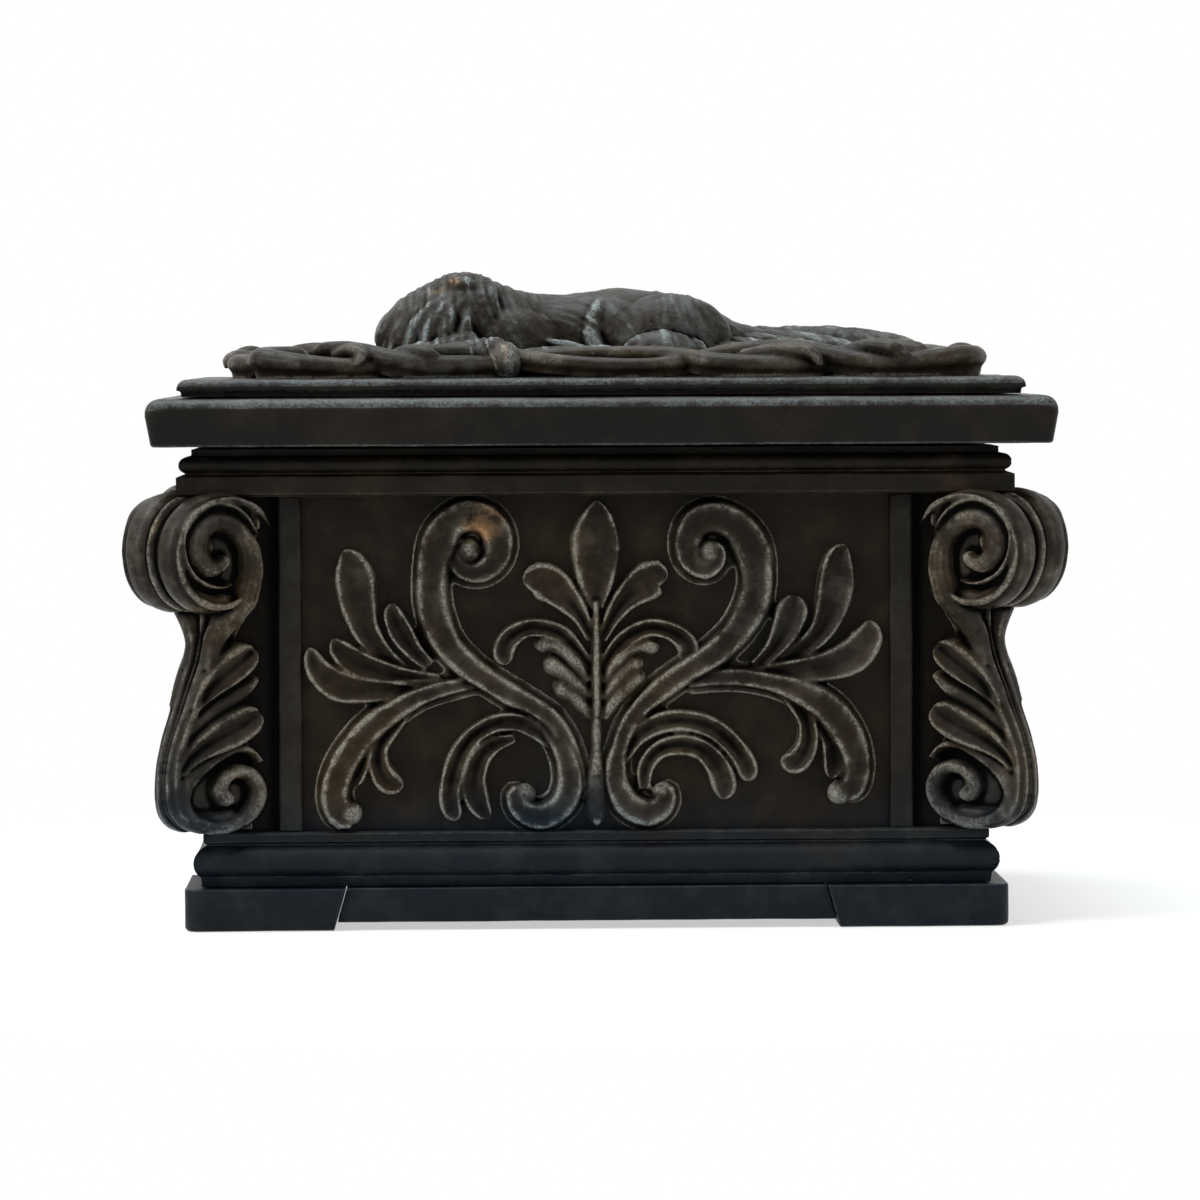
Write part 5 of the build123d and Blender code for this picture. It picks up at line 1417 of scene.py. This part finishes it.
# %% The vine's drawn strands
# Strands: x, y, height and half width. Leaves: x, y, height and radius.
VINE = [
    (-1.0, 0.0), (-0.92, 0.38), (-0.7, 0.71), (-0.38, 0.93), (0.0, 1.0), (0.38, 0.93), (0.7, 0.71),
    (0.92, 0.38), (1.0, 0.0), (0.88, -0.42), (0.6, -0.75), (0.5, -1.5), (-0.5, -1.5), (-0.6, -0.75),
    (-0.88, -0.42),
]
LONG_VINE = [
    [
        (-47.8, -31, 3.4, 2.3), (-53.4, -34.5, 3.2, 2.5), (-54.8, -39.4, 2.9, 2.6),
        (-50.8, -42.6, 2.4, 2.4), (-44.3, -43.2, 1.9, 2.0), (-38.8, -42.6, 1.7, 1.9),
        (-33.3, -40.4, 2.4, 2.1), (-28.8, -37.6, 3.6, 2.1), (-22.8, -36.6, 4.0, 2.0),
        (-15.8, -38.6, 3.6, 1.8), (-8.8, -41.6, 2.6, 1.7), (-0.8, -42.8, 1.9, 1.7),
        (8.2, -42.4, 1.8, 1.7), (15.2, -39.8, 2.6, 1.9), (22.2, -37.4, 3.9, 2.0),
        (29.2, -37.6, 4.4, 2.0), (35.2, -40.0, 3.8, 2.1), (40.6, -42.6, 2.6, 2.2),
        (46.2, -43.4, 1.9, 2.0), (53.2, -42.4, 2.4, 2.2), (59.2, -39.6, 2.9, 2.5),
        (62.2, -34, 2.8, 2.4),
    ],
    [
        (-46.8, -33, 4.4, 1.7), (-42.3, -36.0, 4.6, 1.9), (-38.3, -40.2, 4.0, 2.0),
        (-33.8, -43.2, 2.8, 2.2), (-27.8, -43.6, 1.9, 2.3), (-21.8, -42.4, 1.9, 2.1),
        (-15.3, -39.4, 2.2, 1.8), (-6.8, -37.2, 3.4, 1.7), (3.2, -37.2, 3.7, 1.7),
        (11.2, -39.2, 3.4, 1.9), (17.7, -42.2, 2.4, 2.0), (24.2, -43.6, 1.9, 2.1),
        (30.8, -43.4, 1.9, 2.0), (36.2, -40.6, 2.2, 1.9), (42.2, -38.0, 3.9, 2.0),
        (48.7, -38.6, 4.2, 2.2), (53.8, -41.0, 3.2, 2.2),
    ],
]
SHORT_VINE = [
    [
        (-30, -60, 2.4, 2.1), (-24, -57.4, 2.7, 2.2), (-17, -57.6, 2.9, 2.2), (-9, -61, 2.8, 2.1),
        (-1, -62.6, 2.4, 2.1), (8, -60.6, 2.6, 2.1), (15, -57.6, 2.8, 2.2), (22, -58.0, 2.6, 2.2),
        (29, -61, 2.2, 2.0),
    ],
    [
        (-30, -57, 2.2, 2.0), (-23, -61.4, 2.5, 2.1), (-15, -62.4, 2.4, 2.1), (-7, -58.6, 3.2, 2.1),
        (1, -57.4, 3.4, 2.2), (9, -58.0, 3.3, 2.2), (16, -61.6, 2.5, 2.1), (24, -62.4, 2.2, 2.1),
        (30, -59, 2.0, 1.9),
    ],
]
LONG_LEAVES = [
    [
        (-43.8, -36, 3.6, 1.2), (-40.4, -40.6, 4.6, 1.7), (-38.8, -43.6, 3.6, 1.5),
        (-40.4, -44.6, 1.8, 1.1),
    ],
    [
        (-34.8, -40, 3.4, 1.2), (-30.8, -42.6, 4.2, 1.9), (-27.4, -44.2, 3.4, 1.6),
        (-27.6, -44.8, 1.4, 1.0),
    ],
    [(22.2, -40, 3.4, 1.2), (28.2, -42.6, 4.2, 1.7), (33.8, -44.2, 3.8, 1.6), (35.8, -44.8, 1.6, 1.1)],
    [(38.2, -39, 3.6, 1.3), (43.8, -41.8, 4.8, 1.9), (48.2, -44.0, 4.0, 1.9), (48.2, -45.0, 1.8, 1.2)],
]
SHORT_LEAVES = [
    [(-14, -58, 3.0, 0.9), (-11, -61, 4.2, 1.7), (-8.6, -63.4, 3.6, 1.9), (-8, -64.8, 1.8, 1.2)],
    [(12, -59, 2.6, 0.9), (15, -62, 3.6, 1.6), (18, -64, 3.0, 1.7), (19, -65, 1.4, 1.1)],
]
print("vine strands:", len(LONG_VINE) + len(SHORT_VINE), "leaves:", len(LONG_LEAVES) + len(SHORT_LEAVES))


# %% The vine on the lid
# The left band lies a little further in than the right one, by so many millimetres.
LEFT_DRAWN_IN = 3.0


def vine(strands, leaves):
    """Strands and curled leaves as one skin, lying on the plane z = 0."""
    heap = bmesh.new()
    for drawn in strands:
        stations = smooth_line(drawn, 0.9)
        line = []
        for i, (x, y, z, half) in enumerate(stations):
            blunt = blunt_share(i, len(stations) - 1, 0.4, 4)
            line.append((x * MM, y * MM, z * MM, half * blunt * MM, 0.85 * half * blunt * MM))
        add_to(heap, swept(VINE, line, UP))
    for drawn in leaves:
        roll(heap, drawn, 0.75)
    skin = melted(heap, VOXELS["vine"] * MM, 2)
    for vert in skin.verts:
        vert.co -= vert.normal * wander(vert.co, 0.25 * MM)
    trim(skin, Vector((0, 0, -LID_SUNK * MM)), UP)
    return skin


for side, turn in TURNS.items():
    long_side = side in ("front", "back")
    skin = vine(LONG_VINE, LONG_LEAVES) if long_side else vine(SHORT_VINE, SHORT_LEAVES)
    drawn_in = LEFT_DRAWN_IN if side == "left" else 0.0
    shift = Matrix.Translation(((lid_middle + drawn_in) * MM, 0, lid_top * MM))
    place = shift @ Matrix.Rotation(math.radians(turn), 4, "Z")
    bmesh.ops.transform(skin, matrix=place, verts=skin.verts)
    finished(
        "carved_vine_" + side, skin, vine_resin, "lid", ["lid_ribbon_" + side],
        ridge_strength=RIDGE_STRENGTHS["vine"],
    )

# %% [markdown]
# ## The floor and the lamps
# The casket stands on a white floor in front of a white backdrop. Away from the casket the
# camera, mirrored rays and passing rays see the floor as plain white. Near it part of the
# floor's paint shows, so the ground keeps the casket's soft shadow. All other light meets the
# paint, so that the floor throws back as much light as a real one. The backdrop is the world
# around: it looks white too, but shines on the casket only as brightly as a room does.

# %% Floor and backdrop
floor_finish = Finish(bpy.data.materials.new("floor_white"))
WHITE = colour(1.0, 1.0, 1.0)
ROOM_LIGHT = 0.21
# The shadow is kept whole up to this distance from the middle and fades out by the next, in metres.
SHADOW_KEPT, SHADOW_GONE = 0.10, 0.20
floor_place = {0: floor_finish.place()}
off_centre = floor_finish.node("ShaderNodeVectorMath", {"operation": "LENGTH"}, floor_place, out="Value")
floor_paint = floor_finish.node("ShaderNodeBsdfPrincipled", {}, {
    "Base Color": colour(0.95, 0.95, 0.95), "Roughness": 0.9, "Specular IOR Level": 0.0,
})
plain_white = floor_finish.node("ShaderNodeEmission", {}, {"Color": WHITE, "Strength": 1.0})
far_off = floor_finish.step(off_centre, SHADOW_KEPT, SHADOW_GONE)
whiteness = floor_finish.seen_white() * (0.55 + 0.45 * far_off)
floor_finish.node("ShaderNodeOutputMaterial", {}, {
    "Surface": floor_finish.node("ShaderNodeMixShader", {}, {0: whiteness, 1: floor_paint, 2: plain_white}),
})
floor = bmesh.new()
bmesh.ops.create_grid(floor, x_segments=1, y_segments=1, size=6)
floor_mesh = bpy.data.meshes.new("floor")
floor.to_mesh(floor_mesh)
floor.free()
floor_mesh.materials.append(floor_finish.owner)
floor_object = bpy.data.objects.new("floor", floor_mesh)
bpy.context.scene.collection.objects.link(floor_object)

sky = Finish(bpy.data.worlds.new("world"))
bpy.context.scene.world = sky.owner
room = sky.node("ShaderNodeBackground", {}, {"Color": WHITE, "Strength": ROOM_LIGHT})
white = sky.node("ShaderNodeBackground", {}, {"Color": WHITE, "Strength": 1.0})
sky.node("ShaderNodeOutputWorld", {}, {
    "Surface": sky.node("ShaderNodeMixShader", {}, {0: sky.seen_white(), 1: room, 2: white}),
})
print("the room shines at", ROOM_LIGHT)

# %% [markdown]
# The light is that of a plain studio: a large, slightly cool lamp overhead, a warmer one on the
# left like a window, and a weak one on the right that opens the shadows. Square lamps of half a
# metre and more keep the edges of the shadows soft.

# %% Lamps
LAMP_AIM = (0, 0, 0.05)
# Each lamp: place, size, power and tint.
LAMPS = {
    "overhead": ((-0.15, 0.05, 0.9), 0.8, 14, (0.88, 0.95, 1.0)),
    "left_window": ((-0.9, -0.6, 0.7), 0.5, 12, (1.0, 0.98, 0.95)),
    "right_fill": ((0.9, -0.5, 0.5), 0.6, 4.5, (1.0, 0.97, 0.93)),
}
for name, (place, size, power, tint) in LAMPS.items():
    data = bpy.data.lights.new(name, "AREA")
    data.shape = "SQUARE"
    data.size = size
    data.energy = power
    data.color = tint
    holder = bpy.data.objects.new(name, data)
    bpy.context.scene.collection.objects.link(holder)
    turned = (Vector(place) - Vector(LAMP_AIM)).to_track_quat("Z", "Y").to_matrix().to_4x4()
    holder.matrix_world = Matrix.Translation(place) @ turned
print("lamps:", list(LAMPS))
